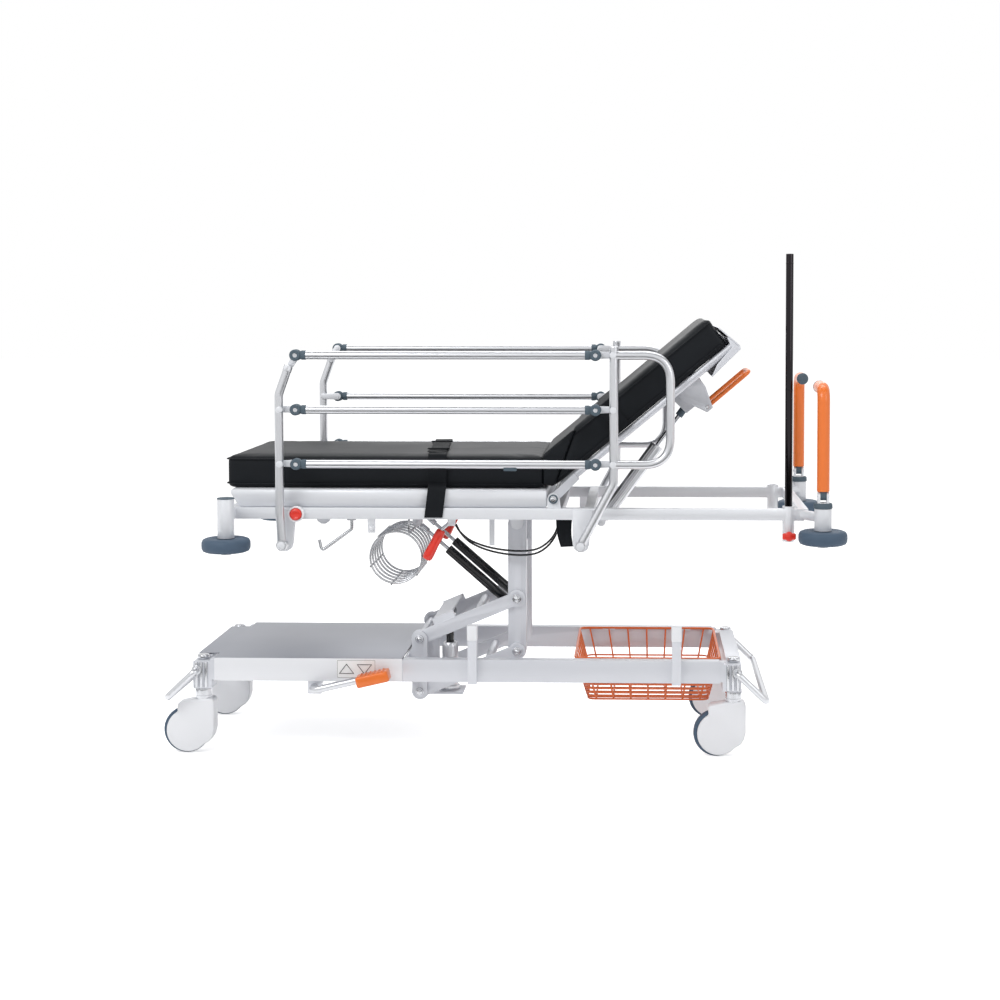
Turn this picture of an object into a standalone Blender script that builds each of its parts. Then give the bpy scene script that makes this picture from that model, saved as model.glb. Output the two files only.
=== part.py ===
"""Pediatric transport stretcher: every sub-part as a closed solid, in metres, +Z up, head end at +X."""
import math

import bmesh
import bpy
from mathutils import Matrix, Vector

# Fits
GAP = 0.0003
RUNNING = 0.0008
SLIDING = 0.0004

# Base frame
BASE_HALF_WIDTH = 0.250
BEAM_WIDTH = 0.030
BEAM_HEIGHT = 0.060
BEAM_TOP = 0.263
FOOT_STEM_X = -0.811
HEAD_STEM_X = 0.620
BEAM_START = 0.039
CROSSBAR_WIDTH = 0.040
HOUSING_BACK = 0.019
HOUSING_FRONT = 0.031
HOUSING_INNER = 0.022
HOUSING_BOTTOM = 0.1815
HOUSING_TOP = 0.254
COVER_THICKNESS = 0.0022
REST_POST_XS = (-0.077, 0.466)
REST_POST_WIDTH = 0.024
REST_POST_DEPTH = 0.022
REST_POST_TOP = 0.358

# Castors
WHEEL_RADIUS = 0.0625
WHEEL_WIDTH = 0.030
AXLE_RADIUS = 0.006
TRAIL = 0.045
STEM_Y = BASE_HALF_WIDTH - 0.040
HOOD_TOP = 0.146
HOOD_WALL = 0.007
HOOD_DISC_SHIFT = 0.005
HOOD_DISC_RADIUS = 0.0585
HOOD_SHOULDER = ((0.0637, -0.028), (0.0716, -0.016), (0.0765, 0.002), (0.0772, 0.060), (0.0750, 0.0816),
                 (0.0660, 0.0872), (0.0200, 0.0835), (-0.0150, 0.0765), (-0.0230, 0.0680))
STEM_RADIUS = 0.0215
STEM_TOP = 0.180
STEM_SPIGOT = 0.011

# Brake bars and pump pedal
BRAKE_RADIUS = 0.0085
BRAKE_PIVOT_OUT = 0.009
BRAKE_PIVOT_Z = 0.232
BRAKE_REACH = 0.0755
BRAKE_DROP = 0.072
BRAKE_ARM_Y = BASE_HALF_WIDTH + 0.018
PEDAL_PAD_LENGTH = 0.088
PEDAL_PAD_WIDTH = 0.048
PEDAL_PAD_THICKNESS = 0.014
PEDAL_RADIUS = 0.010
PEDAL_SHAFT_X = -0.503
PEDAL_SHAFT_Z = 0.186
PEDAL_RUN = (0.203, 0.0472)

# Parallelogram lift
LIFT_BASE_X = -0.2325
LIFT_LOWER_Z = 0.153
LINK_SPACING = 0.1456
ARM_LENGTH = 0.2885
ARM_ANGLE = math.radians(22.7)
ARM_THICKNESS = 0.010
ARM_HALF_HEIGHT = 0.018
ARM_HUB_RADIUS = 0.0235
ARM_INNER_Y = 0.131
PIVOT_RADIUS = 0.010
LUG_THICKNESS = 0.008
LUG_RADIUS = 0.021
LIFT_PLATE_THICKNESS = 0.006
COLUMN_WIDTH = 0.050
COLUMN_DEPTH = 0.030
TILT_PIVOT_Z = 0.616
COLUMN_X = LIFT_BASE_X + ARM_LENGTH * math.cos(ARM_ANGLE)
COLUMN_UPPER_Z = LIFT_LOWER_Z + LINK_SPACING + ARM_LENGTH * math.sin(ARM_ANGLE)
COLUMN_LOWER_Z = COLUMN_UPPER_Z - LINK_SPACING
ARM_OUTER_Y = ARM_INNER_Y + ARM_THICKNESS
COLUMN_OUTER_Y = ARM_INNER_Y - GAP
COLUMN_INNER_Y = COLUMN_OUTER_Y - COLUMN_DEPTH
BEAM_BOTTOM = BEAM_TOP - BEAM_HEIGHT
BEAM_INNER_Y = BASE_HALF_WIDTH - BEAM_WIDTH
LIFT_PLATE_X = LIFT_BASE_X - ARM_HUB_RADIUS - 0.0035

# Jack
JACK_REACH = 0.0675
JACK_X = LIFT_BASE_X + JACK_REACH
JACK_RADIUS = 0.023
JACK_BOTTOM = 0.128
JACK_TOP = 0.262
RAM_RADIUS = 0.011
ROLLER_RADIUS = 0.015
CAM_OFFSET = 0.030
CAM_THICKNESS = 0.006
JACK_PLATE_HALF = 0.045

# Tilt gas springs
SPRING_Y = 0.080
SPRING_RADIUS = 0.013
SPRING_ROD_RADIUS = 0.005
SPRING_FOOT = (0.014, 0.383)
SPRING_HEAD = (-0.245, 0.611)
SPRING_BODY_LENGTH = 0.233
SPRING_PIN_RADIUS = 0.006
OPEN_PIVOT_CLEARANCE = 0.003

# Platform under-frame
PLATFORM_HALF_WIDTH = 0.275
PLATFORM_BEAM_WIDTH = 0.025
PLATFORM_BOTTOM = 0.643
PLATFORM_TOP = 0.673
FOOT_MEMBER_X = -0.716
HEAD_MEMBER_X = 0.800
SPINE_MEMBER_X = 0.150
PROP_MEMBER_X = 0.235
PLATFORM_INNER_Y = PLATFORM_HALF_WIDTH - PLATFORM_BEAM_WIDTH
PLATFORM_BEAM_Y = PLATFORM_HALF_WIDTH - PLATFORM_BEAM_WIDTH / 2
BUMPER_Y = PLATFORM_HALF_WIDTH + 0.060
HEAD_BUMPER_X = 0.843
BUMPER_RADIUS = 0.0635
BUMPER_WIDTH = 0.036
BUMPER_POST_RADIUS = 0.0225
BUMPER_AXLE_RADIUS = 0.008
FOOT_BUMPER_TOP = 0.600
HEAD_BUMPER_TOP = 0.625

# Deck and mattress
DECK_FOOT_X = -0.720
DECK_HEAD_X = 0.122
DECK_HALF_WIDTH = PLATFORM_HALF_WIDTH - 0.010
DECK_TOP = 0.721
DECK_RIM = 0.022
DECK_SKIN = 0.003
MATTRESS_THICKNESS = 0.090
MATTRESS_HALF_WIDTH = DECK_HALF_WIDTH - 0.020
MATTRESS_FOOT_X = -0.732
MATTRESS_ROUND = 0.014

# Backrest
HINGE_X = 0.1394
HINGE_Z = 0.697
HINGE_ROD_RADIUS = 0.007
BACK_ANGLE = math.radians(39.6)
BACK_RANGE_UP = math.radians(20.4)
BACK_LENGTH = 0.6216
BACK_PAD_OFFSET = 0.0205
BACK_TUBE_RADIUS = 0.010
BACK_TUBE_RISE = BACK_PAD_OFFSET - BACK_TUBE_RADIUS - GAP
BACK_TUBE_Y = PLATFORM_HALF_WIDTH - 0.051
BACK_EAR_INNER = PLATFORM_HALF_WIDTH - 0.0225
PROP_BRACKET_Y = 0.095
PROP_Y = -0.045
PROP_FOOT = (0.262, 0.610)
PROP_HEAD = (0.4274, -0.0458)
PROP_RADIUS = 0.014
PROP_BODY_LENGTH = 0.235
PROP_SLEEVE = (0.045, 0.225)
PROP_SLEEVE_RADIUS = 0.018
HANDLE_PIVOT = (0.4664, -0.0833)
HANDLE_REACH = 0.150
HANDLE_RADIUS = 0.006
HANDLE_HALF_WIDTH = 0.083

# Side rails
RAIL_Y = PLATFORM_HALF_WIDTH + 0.040
RAIL_RADIUS = 0.0122
POST_RADIUS = 0.0115
FOOT_PIVOT = (-0.572, 0.579)
HEAD_PIVOT = (0.213, 0.579)
KNUCKLE_X = 0.039
KNUCKLE_ZS = (0.500, 0.357, 0.214)
KNUCKLE_RADIUS = 0.015
KNUCKLE_WIDTH = 0.026
POST_OFFSET = -0.006
HOOP_POST_X = 0.087
HOOP_END_X = 0.2345
HOOP_ARC = 0.070
RAIL_PIN_RADIUS = 0.007
RAIL_BOSS_RADIUS = 0.0145
RAIL_BOSS_LENGTH = 0.028
RAIL_INNER_Y = RAIL_Y - RAIL_BOSS_LENGTH / 2
RAIL_OUTER_Y = RAIL_Y + RAIL_BOSS_LENGTH / 2
LATCH = (-0.540, 0.658)
LATCH_RADIUS = 0.0155
LATCH_RING_RADIUS = 0.020

# Push handles, infusion pole and what hangs below the platform
PUSH_PIVOT_Z = 0.715
PUSH_TOP = 1.010
PUSH_RADIUS = 0.0165
PUSH_GRIP = 0.110
PUSH_TONGUE = 0.016
PUSH_CHEEK = 0.006
PUSH_CHEEK_RADIUS = 0.012
POLE_X = 0.760
POLE_RADIUS = 0.010
POLE_TOP = 1.344
POLE_BOTTOM = 0.600
POLE_SOCKET_RADIUS = 0.016
POLE_SOCKET_BOTTOM = 0.587
KNOB_Z = 0.603
KNOB_RADIUS = 0.0125
KNOB_REACH = 0.016
KNOB_WING = (0.018, 0.009)
OXYGEN_CENTRE = (-0.2885, 0.530)
OXYGEN_RADIUS = 0.070
OXYGEN_WIRE = 0.0026
OXYGEN_NEAR_Y = -0.200
OXYGEN_FAR_Y = 0.010
LEVER_PIVOT = (-0.136, 0.630)
LEVER_Y = PLATFORM_HALF_WIDTH - 0.070
GRIP_RADIUS = 0.014
GRIP_LENGTH = 0.092
CABLE_Y = -0.178
HANGER_X = -0.031
CABLE_RADIUS = 0.0028
CABLE_ROUTE = ((-0.1300, 0.6170), (-0.1150, 0.5950), (-0.0850, 0.5720), (-0.0310, 0.5540), (0.0340, 0.5460),
               (0.0850, 0.5500), (0.1180, 0.5680), (0.1400, 0.5950), (0.1490, 0.6250), (0.1500, 0.6436))

# Straps
STRAP_X = -0.170
STRAP_WIDTH = 0.050
STRAP_THICKNESS = 0.0025
BACK_STRAP_AT = 0.235

# Basket
BASKET_RIM = (0.195, 0.584, BASE_HALF_WIDTH - 0.038)
BASKET_FLOOR = (0.228, 0.555, BASE_HALF_WIDTH - 0.078)
BASKET_TOP = 0.264
BASKET_BOTTOM = 0.1395
BASKET_WIRE = 0.005
BASKET_COLUMNS = 7
BASKET_ROWS = 3
BASKET_LANES = 5

CENTRE_SHIFT = -(FOOT_STEM_X - TRAIL - WHEEL_RADIUS + HEAD_BUMPER_X + BUMPER_RADIUS) / 2
SIDES = (("near", -1), ("far", 1))
ENDS = (("foot", FOOT_STEM_X), ("head", HEAD_STEM_X))

PAINT = ("painted_steel", (0.60, 0.62, 0.66), 0.42, 0.25)
COVER_PAINT = ("cover_paint", (0.78, 0.80, 0.84), 0.45, 0.10)
CHROME = ("bright_steel", (0.66, 0.67, 0.69), 0.22, 0.95)
BLACK_PAINT = ("black_spring_paint", (0.010, 0.011, 0.013), 0.35, 0.10)
BLUE_GREY = ("blue_grey_plastic", (0.070, 0.100, 0.130), 0.50, 0.0)
WHITE = ("white_plastic", (0.83, 0.84, 0.86), 0.40, 0.0)
TYRE = ("dark_tyre", (0.022, 0.040, 0.055), 0.70, 0.0)
ORANGE = ("orange_plastic", (0.80, 0.165, 0.022), 0.45, 0.0)
RED = ("red_plastic", (0.78, 0.055, 0.025), 0.42, 0.0)
MATTRESS = ("mattress_cover", (0.045, 0.046, 0.048), 0.60, 0.0)
WEBBING = ("strap_webbing", (0.015, 0.017, 0.020), 0.75, 0.0)


def clear_scene():
    """Remove whatever the file held."""
    for item in list(bpy.data.objects):
        bpy.data.objects.remove(item, do_unlink=True)


def material(finish):
    """One Principled material for each finish."""
    name, colour, roughness, metallic = finish
    made = bpy.data.materials.get(name)
    if made:
        return made
    made = bpy.data.materials.new(name)
    made.use_nodes = True
    shader = made.node_tree.nodes["Principled BSDF"]
    shader.inputs["Base Color"].default_value = (*colour, 1.0)
    shader.inputs["Roughness"].default_value = roughness
    shader.inputs["Metallic"].default_value = metallic
    return made


def new_object(name, mesh):
    """Link a mesh into the scene as an object."""
    item = bpy.data.objects.new(name, mesh)
    bpy.context.scene.collection.objects.link(item)
    return item


def from_bmesh(shape):
    """Turn a bmesh into a loose working object."""
    bmesh.ops.recalc_face_normals(shape, faces=shape.faces)
    mesh = bpy.data.meshes.new("shape")
    shape.to_mesh(mesh)
    shape.free()
    return new_object("shape", mesh)


def box(x0, x1, y0, y1, z0, z1, bevel=0.0):
    """A box between two corners, with rounded edges where asked."""
    shape = bmesh.new()
    bmesh.ops.create_cube(shape, size=1.0)
    for vert in shape.verts:
        vert.co.x = x1 if vert.co.x > 0 else x0
        vert.co.y = y1 if vert.co.y > 0 else y0
        vert.co.z = z1 if vert.co.z > 0 else z0
    if bevel:
        bmesh.ops.bevel(shape, geom=shape.edges[:], offset=bevel, segments=1, affect="EDGES")
    return from_bmesh(shape)


def mirrored_span(side, inner, outer):
    """Lowest and highest y of a span given as distances from the middle plane."""
    return (inner, outer) if side > 0 else (-outer, -inner)


def side_box(side, x0, x1, inner, outer, z0, z1, bevel=0.0):
    """A box on one side of the stretcher."""
    y0, y1 = mirrored_span(side, inner, outer)
    return box(x0, x1, y0, y1, z0, z1, bevel)


def rod(start, end, radius, sides=12):
    """A round solid bar between two points."""
    start, end = Vector(start), Vector(end)
    along = end - start
    turn = along.to_track_quat("Z", "Y").to_matrix().to_4x4()
    shape = bmesh.new()
    bmesh.ops.create_cone(shape, cap_ends=True, segments=sides, radius1=radius, radius2=radius,
                          depth=along.length, matrix=Matrix.Translation((start + end) / 2) @ turn)
    return from_bmesh(shape)


def bored(radius, sides, gap=GAP):
    """Radius of a many-sided hole whose flats clear a round shaft."""
    return (radius + gap) / math.cos(math.pi / sides)


def cross_rod(x, z, y0, y1, radius, sides=12):
    """A round bar that runs across the stretcher."""
    return rod((x, y0, z), (x, y1, z), radius, sides)


def turned(profile, sides=24):
    """A solid of revolution about Z from (radius, height) points, closed on the axis or as a ring."""
    shape = bmesh.new()
    verts = [shape.verts.new((radius, 0.0, height)) for radius, height in profile]
    loop = [shape.edges.new((a, b)) for a, b in zip(verts, verts[1:] + verts[:1])]
    bmesh.ops.spin(shape, geom=verts + loop, cent=(0, 0, 0), axis=(0, 0, 1),
                   angle=2 * math.pi, steps=sides, use_merge=True)
    bmesh.ops.remove_doubles(shape, verts=shape.verts, dist=1e-6)
    bmesh.ops.dissolve_degenerate(shape, edges=shape.edges, dist=1e-7)
    loose = [edge for edge in shape.edges if not edge.link_faces]
    bmesh.ops.delete(shape, geom=loose, context="EDGES")
    return from_bmesh(shape)


def plate(outline, y0, y1):
    """A flat plate cut to an outline of (x, z) points, between two planes of y."""
    shape = bmesh.new()
    verts = [shape.verts.new((x, y0, z)) for x, z in outline]
    face = shape.faces.new(verts)
    grown = bmesh.ops.extrude_face_region(shape, geom=[face])["geom"]
    moved = [item for item in grown if isinstance(item, bmesh.types.BMVert)]
    bmesh.ops.translate(shape, verts=moved, vec=(0, y1 - y0, 0))
    return from_bmesh(shape)


def side_plate(side, outline, inner, outer):
    """A plate on one side of the stretcher."""
    y0, y1 = mirrored_span(side, inner, outer)
    return plate(outline, y0, y1)


def arc(centre, radius, start, end, steps):
    """Points on an arc in the (x, z) plane, angles in degrees."""
    turn = [math.radians(start + (end - start) * i / steps) for i in range(steps + 1)]
    return [(centre[0] + radius * math.cos(a), centre[1] + radius * math.sin(a)) for a in turn]


def link_outline(first, second, radius, steps=8):
    """The outline of a flat link with two round ends."""
    heading = math.degrees(math.atan2(second[1] - first[1], second[0] - first[0]))
    return (arc(second, radius, heading - 90, heading + 90, steps)
            + arc(first, radius, heading + 90, heading + 270, steps))


def rounded_path(points, bend, steps=5):
    """Straight runs with each inner corner turned to an arc."""
    points = [Vector(p) for p in points]
    path = [points[0]]
    for before, corner, after in zip(points, points[1:], points[2:]):
        back = (before - corner).normalized()
        ahead = (after - corner).normalized()
        half = back.angle(ahead) / 2
        reach = bend / math.tan(half)
        centre = corner + (back + ahead).normalized() * (bend / math.sin(half))
        start = corner + back * reach - centre
        end = corner + ahead * reach - centre
        swing = start.angle(end)
        for i in range(steps + 1):
            share = i / steps
            mixed = start * math.sin((1 - share) * swing) + end * math.sin(share * swing)
            path.append(centre + mixed / math.sin(swing))
    path.append(points[-1])
    return path


def swept(path, radius, resolution=3):
    """A tube solid along a path, with filled ends."""
    curve = bpy.data.curves.new("path", "CURVE")
    curve.dimensions = "3D"
    curve.bevel_depth = radius
    curve.bevel_resolution = resolution
    curve.use_fill_caps = True
    spline = curve.splines.new("POLY")
    spline.points.add(len(path) - 1)
    for point, place in zip(spline.points, path):
        point.co = (*place, 1.0)
    item = new_object("tube", curve)
    return to_mesh(item)


def to_mesh(item):
    """Replace an object by its evaluated mesh."""
    graph = bpy.context.evaluated_depsgraph_get()
    mesh = bpy.data.meshes.new_from_object(item.evaluated_get(graph))
    bpy.data.objects.remove(item, do_unlink=True)
    shape = bmesh.new()
    shape.from_mesh(mesh)
    bmesh.ops.remove_doubles(shape, verts=shape.verts, dist=1e-6)
    return from_bmesh(shape)


def combine(first, others, operation):
    """Boolean one shape with a list of others and keep the evaluated result."""
    if not others:
        return first
    group = bpy.data.collections.new("operands")
    bpy.context.scene.collection.children.link(group)
    for other in others:
        group.objects.link(other)
    change = first.modifiers.new("combine", "BOOLEAN")
    change.operation = operation
    change.operand_type = "COLLECTION"
    change.collection = group
    change.solver = "EXACT"
    graph = bpy.context.evaluated_depsgraph_get()
    mesh = bpy.data.meshes.new_from_object(first.evaluated_get(graph))
    for used in [first, *others]:
        bpy.data.objects.remove(used, do_unlink=True)
    bpy.data.collections.remove(group)
    return new_object("shape", mesh)


def solid(name, shapes, finish, cutters=(), origin=(0, 0, 0), smooth=True):
    """Fuse shapes into one named sub-part, cut it, and put its origin on its joint axis."""
    item = combine(shapes[0], list(shapes[1:]), "UNION")
    item = combine(item, list(cutters), "DIFFERENCE")
    shape = bmesh.new()
    shape.from_mesh(item.data)
    bmesh.ops.remove_doubles(shape, verts=shape.verts, dist=2e-6)
    bmesh.ops.dissolve_limit(shape, angle_limit=math.radians(0.05), verts=shape.verts, edges=shape.edges)
    bmesh.ops.triangulate(shape, faces=shape.faces)
    bmesh.ops.translate(shape, verts=shape.verts, vec=-Vector(origin))
    shape.to_mesh(item.data)
    shape.free()
    item.name = name
    item.data.name = name
    item.location = origin
    item.data.materials.clear()
    item.data.materials.append(material(finish))
    if smooth:
        item.data.shade_smooth()
        item.data.set_sharp_from_angle(angle=math.radians(32))
    return item


def moved(item, matrix):
    """Place a working shape by a matrix."""
    item.data.transform(matrix)
    return item


def back_point(along, above, y=0.0):
    """A world point from a distance along the backrest and one square to it, from the hinge."""
    x = HINGE_X + along * math.cos(BACK_ANGLE) - above * math.sin(BACK_ANGLE)
    z = HINGE_Z + along * math.sin(BACK_ANGLE) + above * math.cos(BACK_ANGLE)
    return Vector((x, y, z))


def lift_point(along, above, lower=False):
    """A point (x, z) from a distance along a lift arm and one square to it, from its base pivot."""
    z = LIFT_LOWER_Z if lower else LIFT_LOWER_Z + LINK_SPACING
    return (LIFT_BASE_X + along * math.cos(ARM_ANGLE) - above * math.sin(ARM_ANGLE),
            z + along * math.sin(ARM_ANGLE) + above * math.cos(ARM_ANGLE))


def lift_lug(side):
    """One upright lug that carries both lift pivots of its side."""
    outline = arc((LIFT_BASE_X, LIFT_LOWER_Z), LUG_RADIUS, 180, 360, 10)
    outline += arc((LIFT_BASE_X, LIFT_LOWER_Z + LINK_SPACING), LUG_RADIUS, 0, 180, 10)
    back = LIFT_PLATE_X - LIFT_PLATE_THICKNESS / 2
    edge = LIFT_BASE_X - LUG_RADIUS
    outline += [(edge, BEAM_TOP + 0.006), (back, BEAM_TOP - 0.001), (back, BEAM_BOTTOM + 0.003),
                (edge, BEAM_BOTTOM - 0.004)]
    inner = ARM_OUTER_Y + GAP
    return side_plate(side, outline, inner, inner + LUG_THICKNESS)


def rest_post(side, x):
    """The upright stop on the outside of a beam, with its wider cap."""
    half = REST_POST_WIDTH / 2
    outer = BASE_HALF_WIDTH + REST_POST_DEPTH
    stem = side_box(side, x - half, x + half, BASE_HALF_WIDTH - 0.004, outer,
                    BEAM_BOTTOM - 0.001, REST_POST_TOP - 0.038)
    cap = side_box(side, x - half - 0.001, x + half + 0.001, BASE_HALF_WIDTH + 0.001, outer + 0.001,
                   REST_POST_TOP - 0.040, REST_POST_TOP)
    return [stem, cap]


def basket_ledges():
    """Small ledges inside the beams that the basket's rim hangs on."""
    top = BASKET_TOP - BASKET_WIRE + 0.0004
    ledges = []
    cell = (BASKET_RIM[1] - BASKET_RIM[0]) / BASKET_COLUMNS
    for _, side in SIDES:
        for i in (1, BASKET_COLUMNS - 2):
            x = BASKET_RIM[0] + cell * i
            ledges.append(side_box(side, x + 0.010, x + cell - 0.010, BASKET_RIM[2] - 0.003,
                                   BEAM_INNER_Y + 0.004, top - 0.004, top))
    return ledges


def castor_housing(side, stem_x):
    """The block that joins a beam to a crossbar and holds a castor's spigot."""
    inward = -1 if stem_x > 0 else 1
    x0, x1 = sorted((stem_x - inward * HOUSING_BACK, stem_x + inward * HOUSING_FRONT))
    outer = BASE_HALF_WIDTH - 0.002
    block = side_box(side, x0, x1, STEM_Y - HOUSING_INNER, outer, HOUSING_BOTTOM, HOUSING_TOP)
    n0, n1 = sorted((stem_x + inward * (HOUSING_FRONT - 0.004), stem_x + inward * (BEAM_START + 0.002)))
    neck = side_box(side, n0, n1, BEAM_INNER_Y + 0.002, outer, BEAM_BOTTOM + 0.003, BEAM_TOP - 0.003)
    return [block, neck]


def base_cutters():
    """Bores for the castor spigots, the brake bars and the pump lever."""
    cutters = [cross_rod(PEDAL_SHAFT_X, PEDAL_SHAFT_Z, -BASE_HALF_WIDTH - 0.020, -BEAM_INNER_Y + 0.020,
                         bored(PEDAL_RADIUS, 12), 12)]
    for _, x in ENDS:
        for _, side in SIDES:
            cutters.append(rod((x, side * STEM_Y, HOUSING_BOTTOM - 0.020), (x, side * STEM_Y, HOUSING_TOP - 0.005),
                               bored(STEM_SPIGOT, 8), 8))
            cutters.append(cross_rod(brake_pivot_x(x), BRAKE_PIVOT_Z, side * (BASE_HALF_WIDTH - 0.012),
                                     side * (BASE_HALF_WIDTH + 0.020), bored(BRAKE_RADIUS, 8), 8))
    return cutters


def make_base_frame():
    """Two beams, two crossbars, castor housings, lift lugs with their shafts, and the near rest posts."""
    shapes = []
    for _, side in SIDES:
        shapes.append(side_box(side, FOOT_STEM_X + BEAM_START, HEAD_STEM_X - BEAM_START, BEAM_INNER_Y,
                               BASE_HALF_WIDTH, BEAM_BOTTOM, BEAM_TOP))
        shapes.append(lift_lug(side))
        shapes += castor_housing(side, FOOT_STEM_X)
        shapes += castor_housing(side, HEAD_STEM_X)
    for x in REST_POST_XS:
        shapes += rest_post(-1, x)
    half = CROSSBAR_WIDTH / 2
    reach = STEM_Y - HOUSING_INNER + 0.004
    for _, x in ENDS:
        shapes.append(box(x - half, x + half, -reach, reach, BEAM_BOTTOM + 0.002, BEAM_TOP - 0.002))
    lug_reach = ARM_OUTER_Y + GAP + LUG_THICKNESS
    for z in (LIFT_LOWER_Z, LIFT_LOWER_Z + LINK_SPACING):
        shapes.append(cross_rod(LIFT_BASE_X, z, -lug_reach - 0.006, lug_reach + 0.006, PIVOT_RADIUS, 10))
    inside = BEAM_INNER_Y + 0.004
    back = LIFT_PLATE_X - LIFT_PLATE_THICKNESS
    shapes.append(box(back, LIFT_PLATE_X, -inside, inside, BEAM_BOTTOM + 0.004, BEAM_TOP - 0.002))
    shapes.append(box(back, LIFT_PLATE_X, -JACK_PLATE_HALF, JACK_PLATE_HALF, JACK_BOTTOM - 0.008,
                      BEAM_BOTTOM + 0.006))
    shapes.append(box(LIFT_PLATE_X - 0.003, JACK_X + 0.040, -JACK_PLATE_HALF, JACK_PLATE_HALF,
                      JACK_BOTTOM - 0.006, JACK_BOTTOM - GAP))
    shapes += basket_ledges()
    shapes.append(box(PEDAL_SHAFT_X - 0.018, PEDAL_SHAFT_X + 0.018, 0.004 - BASE_HALF_WIDTH,
                      -BEAM_INNER_Y - 0.003, PEDAL_SHAFT_Z - 0.018, BEAM_BOTTOM + 0.005))
    solid("base_frame", shapes, PAINT, base_cutters())


def brake_pivot_x(stem_x):
    """The brake bar's pivot lies just outboard of the castor stem."""
    return stem_x + math.copysign(BRAKE_PIVOT_OUT, stem_x)


def make_base_cover():
    """The folded sheet cover over the foot end, open below."""
    lip = 0.012
    x0, x1 = FOOT_STEM_X + BEAM_START, LIFT_PLATE_X - LIFT_PLATE_THICKNESS - GAP
    y = BASE_HALF_WIDTH
    top = BEAM_TOP + GAP
    skin = box(x0, x1, -y, y, top, top + COVER_THICKNESS)
    inner = BEAM_INNER_Y - GAP
    apron_y = STEM_Y - HOUSING_INNER - 0.002
    apron = box(FOOT_STEM_X - HOUSING_BACK, x0 + 0.002, -apron_y, apron_y, top, top + COVER_THICKNESS)
    shapes = [skin, apron]
    for _, side in SIDES:
        shapes.append(side_box(side, x0 + 0.004, x1, inner - COVER_THICKNESS, inner, top - lip, top + 0.001))
    solid("base_cover", shapes, COVER_PAINT, smooth=False)


def make_basket():
    """An open basket of welded wire, wider at the rim than at the floor."""
    columns, rows, lanes = BASKET_COLUMNS, BASKET_ROWS, BASKET_LANES
    shape = bmesh.new()
    grid = {}

    def level(step):
        share = step / rows
        x0 = BASKET_FLOOR[0] + (BASKET_RIM[0] - BASKET_FLOOR[0]) * share
        x1 = BASKET_FLOOR[1] + (BASKET_RIM[1] - BASKET_FLOOR[1]) * share
        half = BASKET_FLOOR[2] + (BASKET_RIM[2] - BASKET_FLOOR[2]) * share
        z = BASKET_BOTTOM + (BASKET_TOP - BASKET_BOTTOM) * share - BASKET_WIRE / 2
        return x0, x1, half, z

    def vertex(i, j, step):
        if (i, j, step) not in grid:
            x0, x1, half, z = level(step)
            grid[i, j, step] = shape.verts.new((x0 + (x1 - x0) * i / columns, half * (2 * j / lanes - 1), z))
        return grid[i, j, step]

    for i in range(columns):
        for j in range(lanes):
            shape.faces.new([vertex(i, j, 0), vertex(i, j + 1, 0), vertex(i + 1, j + 1, 0), vertex(i + 1, j, 0)])
    for step in range(rows):
        for i in range(columns):
            for j in (0, lanes):
                shape.faces.new([vertex(i, j, step), vertex(i + 1, j, step),
                                 vertex(i + 1, j, step + 1), vertex(i, j, step + 1)])
        for j in range(lanes):
            for i in (0, columns):
                shape.faces.new([vertex(i, j, step), vertex(i, j + 1, step),
                                 vertex(i, j + 1, step + 1), vertex(i, j, step + 1)])
    item = from_bmesh(shape)
    wires = item.modifiers.new("wires", "WIREFRAME")
    wires.thickness = BASKET_WIRE
    wires.use_even_offset = False
    wires.use_boundary = True
    solid("storage_basket", [to_mesh(item)], ORANGE, smooth=False)


def make_jack():
    """The upright hydraulic cylinder and its ram with a roller under the lift arms."""
    axis = Matrix.Translation((JACK_X, 0, 0))
    body = turned([(bored(RAM_RADIUS, 16), JACK_BOTTOM + 0.02), (JACK_RADIUS * 0.7, JACK_BOTTOM),
                   (JACK_RADIUS + 0.004, JACK_BOTTOM), (JACK_RADIUS + 0.004, JACK_BOTTOM + 0.012),
                   (JACK_RADIUS, JACK_BOTTOM + 0.014), (JACK_RADIUS, JACK_TOP - 0.012),
                   (JACK_RADIUS - 0.004, JACK_TOP), (bored(RAM_RADIUS, 16), JACK_TOP)], 16)
    solid("jack_body", [moved(body, axis)], CHROME)
    roller_z = cam_height() - (ROLLER_RADIUS + GAP) / math.cos(ARM_ANGLE)
    ram = rod((JACK_X, 0, JACK_BOTTOM + 0.06), (JACK_X, 0, roller_z - 0.004), RAM_RADIUS, 12)
    fork = box(JACK_X - 0.012, JACK_X + 0.012, -0.030, 0.030, roller_z - 0.022, roller_z - 0.010, 0.002)
    roller = cross_rod(JACK_X, roller_z, -0.040, 0.040, ROLLER_RADIUS, 14)
    solid("jack_ram", [ram, fork, roller], BLACK_PAINT, origin=(JACK_X, 0, roller_z))


def cam_height():
    """Height of the cam plate's underside over the jack."""
    return (LIFT_LOWER_Z + LINK_SPACING + JACK_REACH * math.tan(ARM_ANGLE)
            + CAM_OFFSET / math.cos(ARM_ANGLE))


def make_castors():
    """Hooded castors with a stem in each corner socket, and their wheels."""
    for end, stem_x in ENDS:
        for side_name, side in SIDES:
            name = end + "_" + side_name
            y = side * STEM_Y
            make_castor_hood(name, stem_x, y)
            make_castor_wheel(name, stem_x - TRAIL, y)


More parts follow.
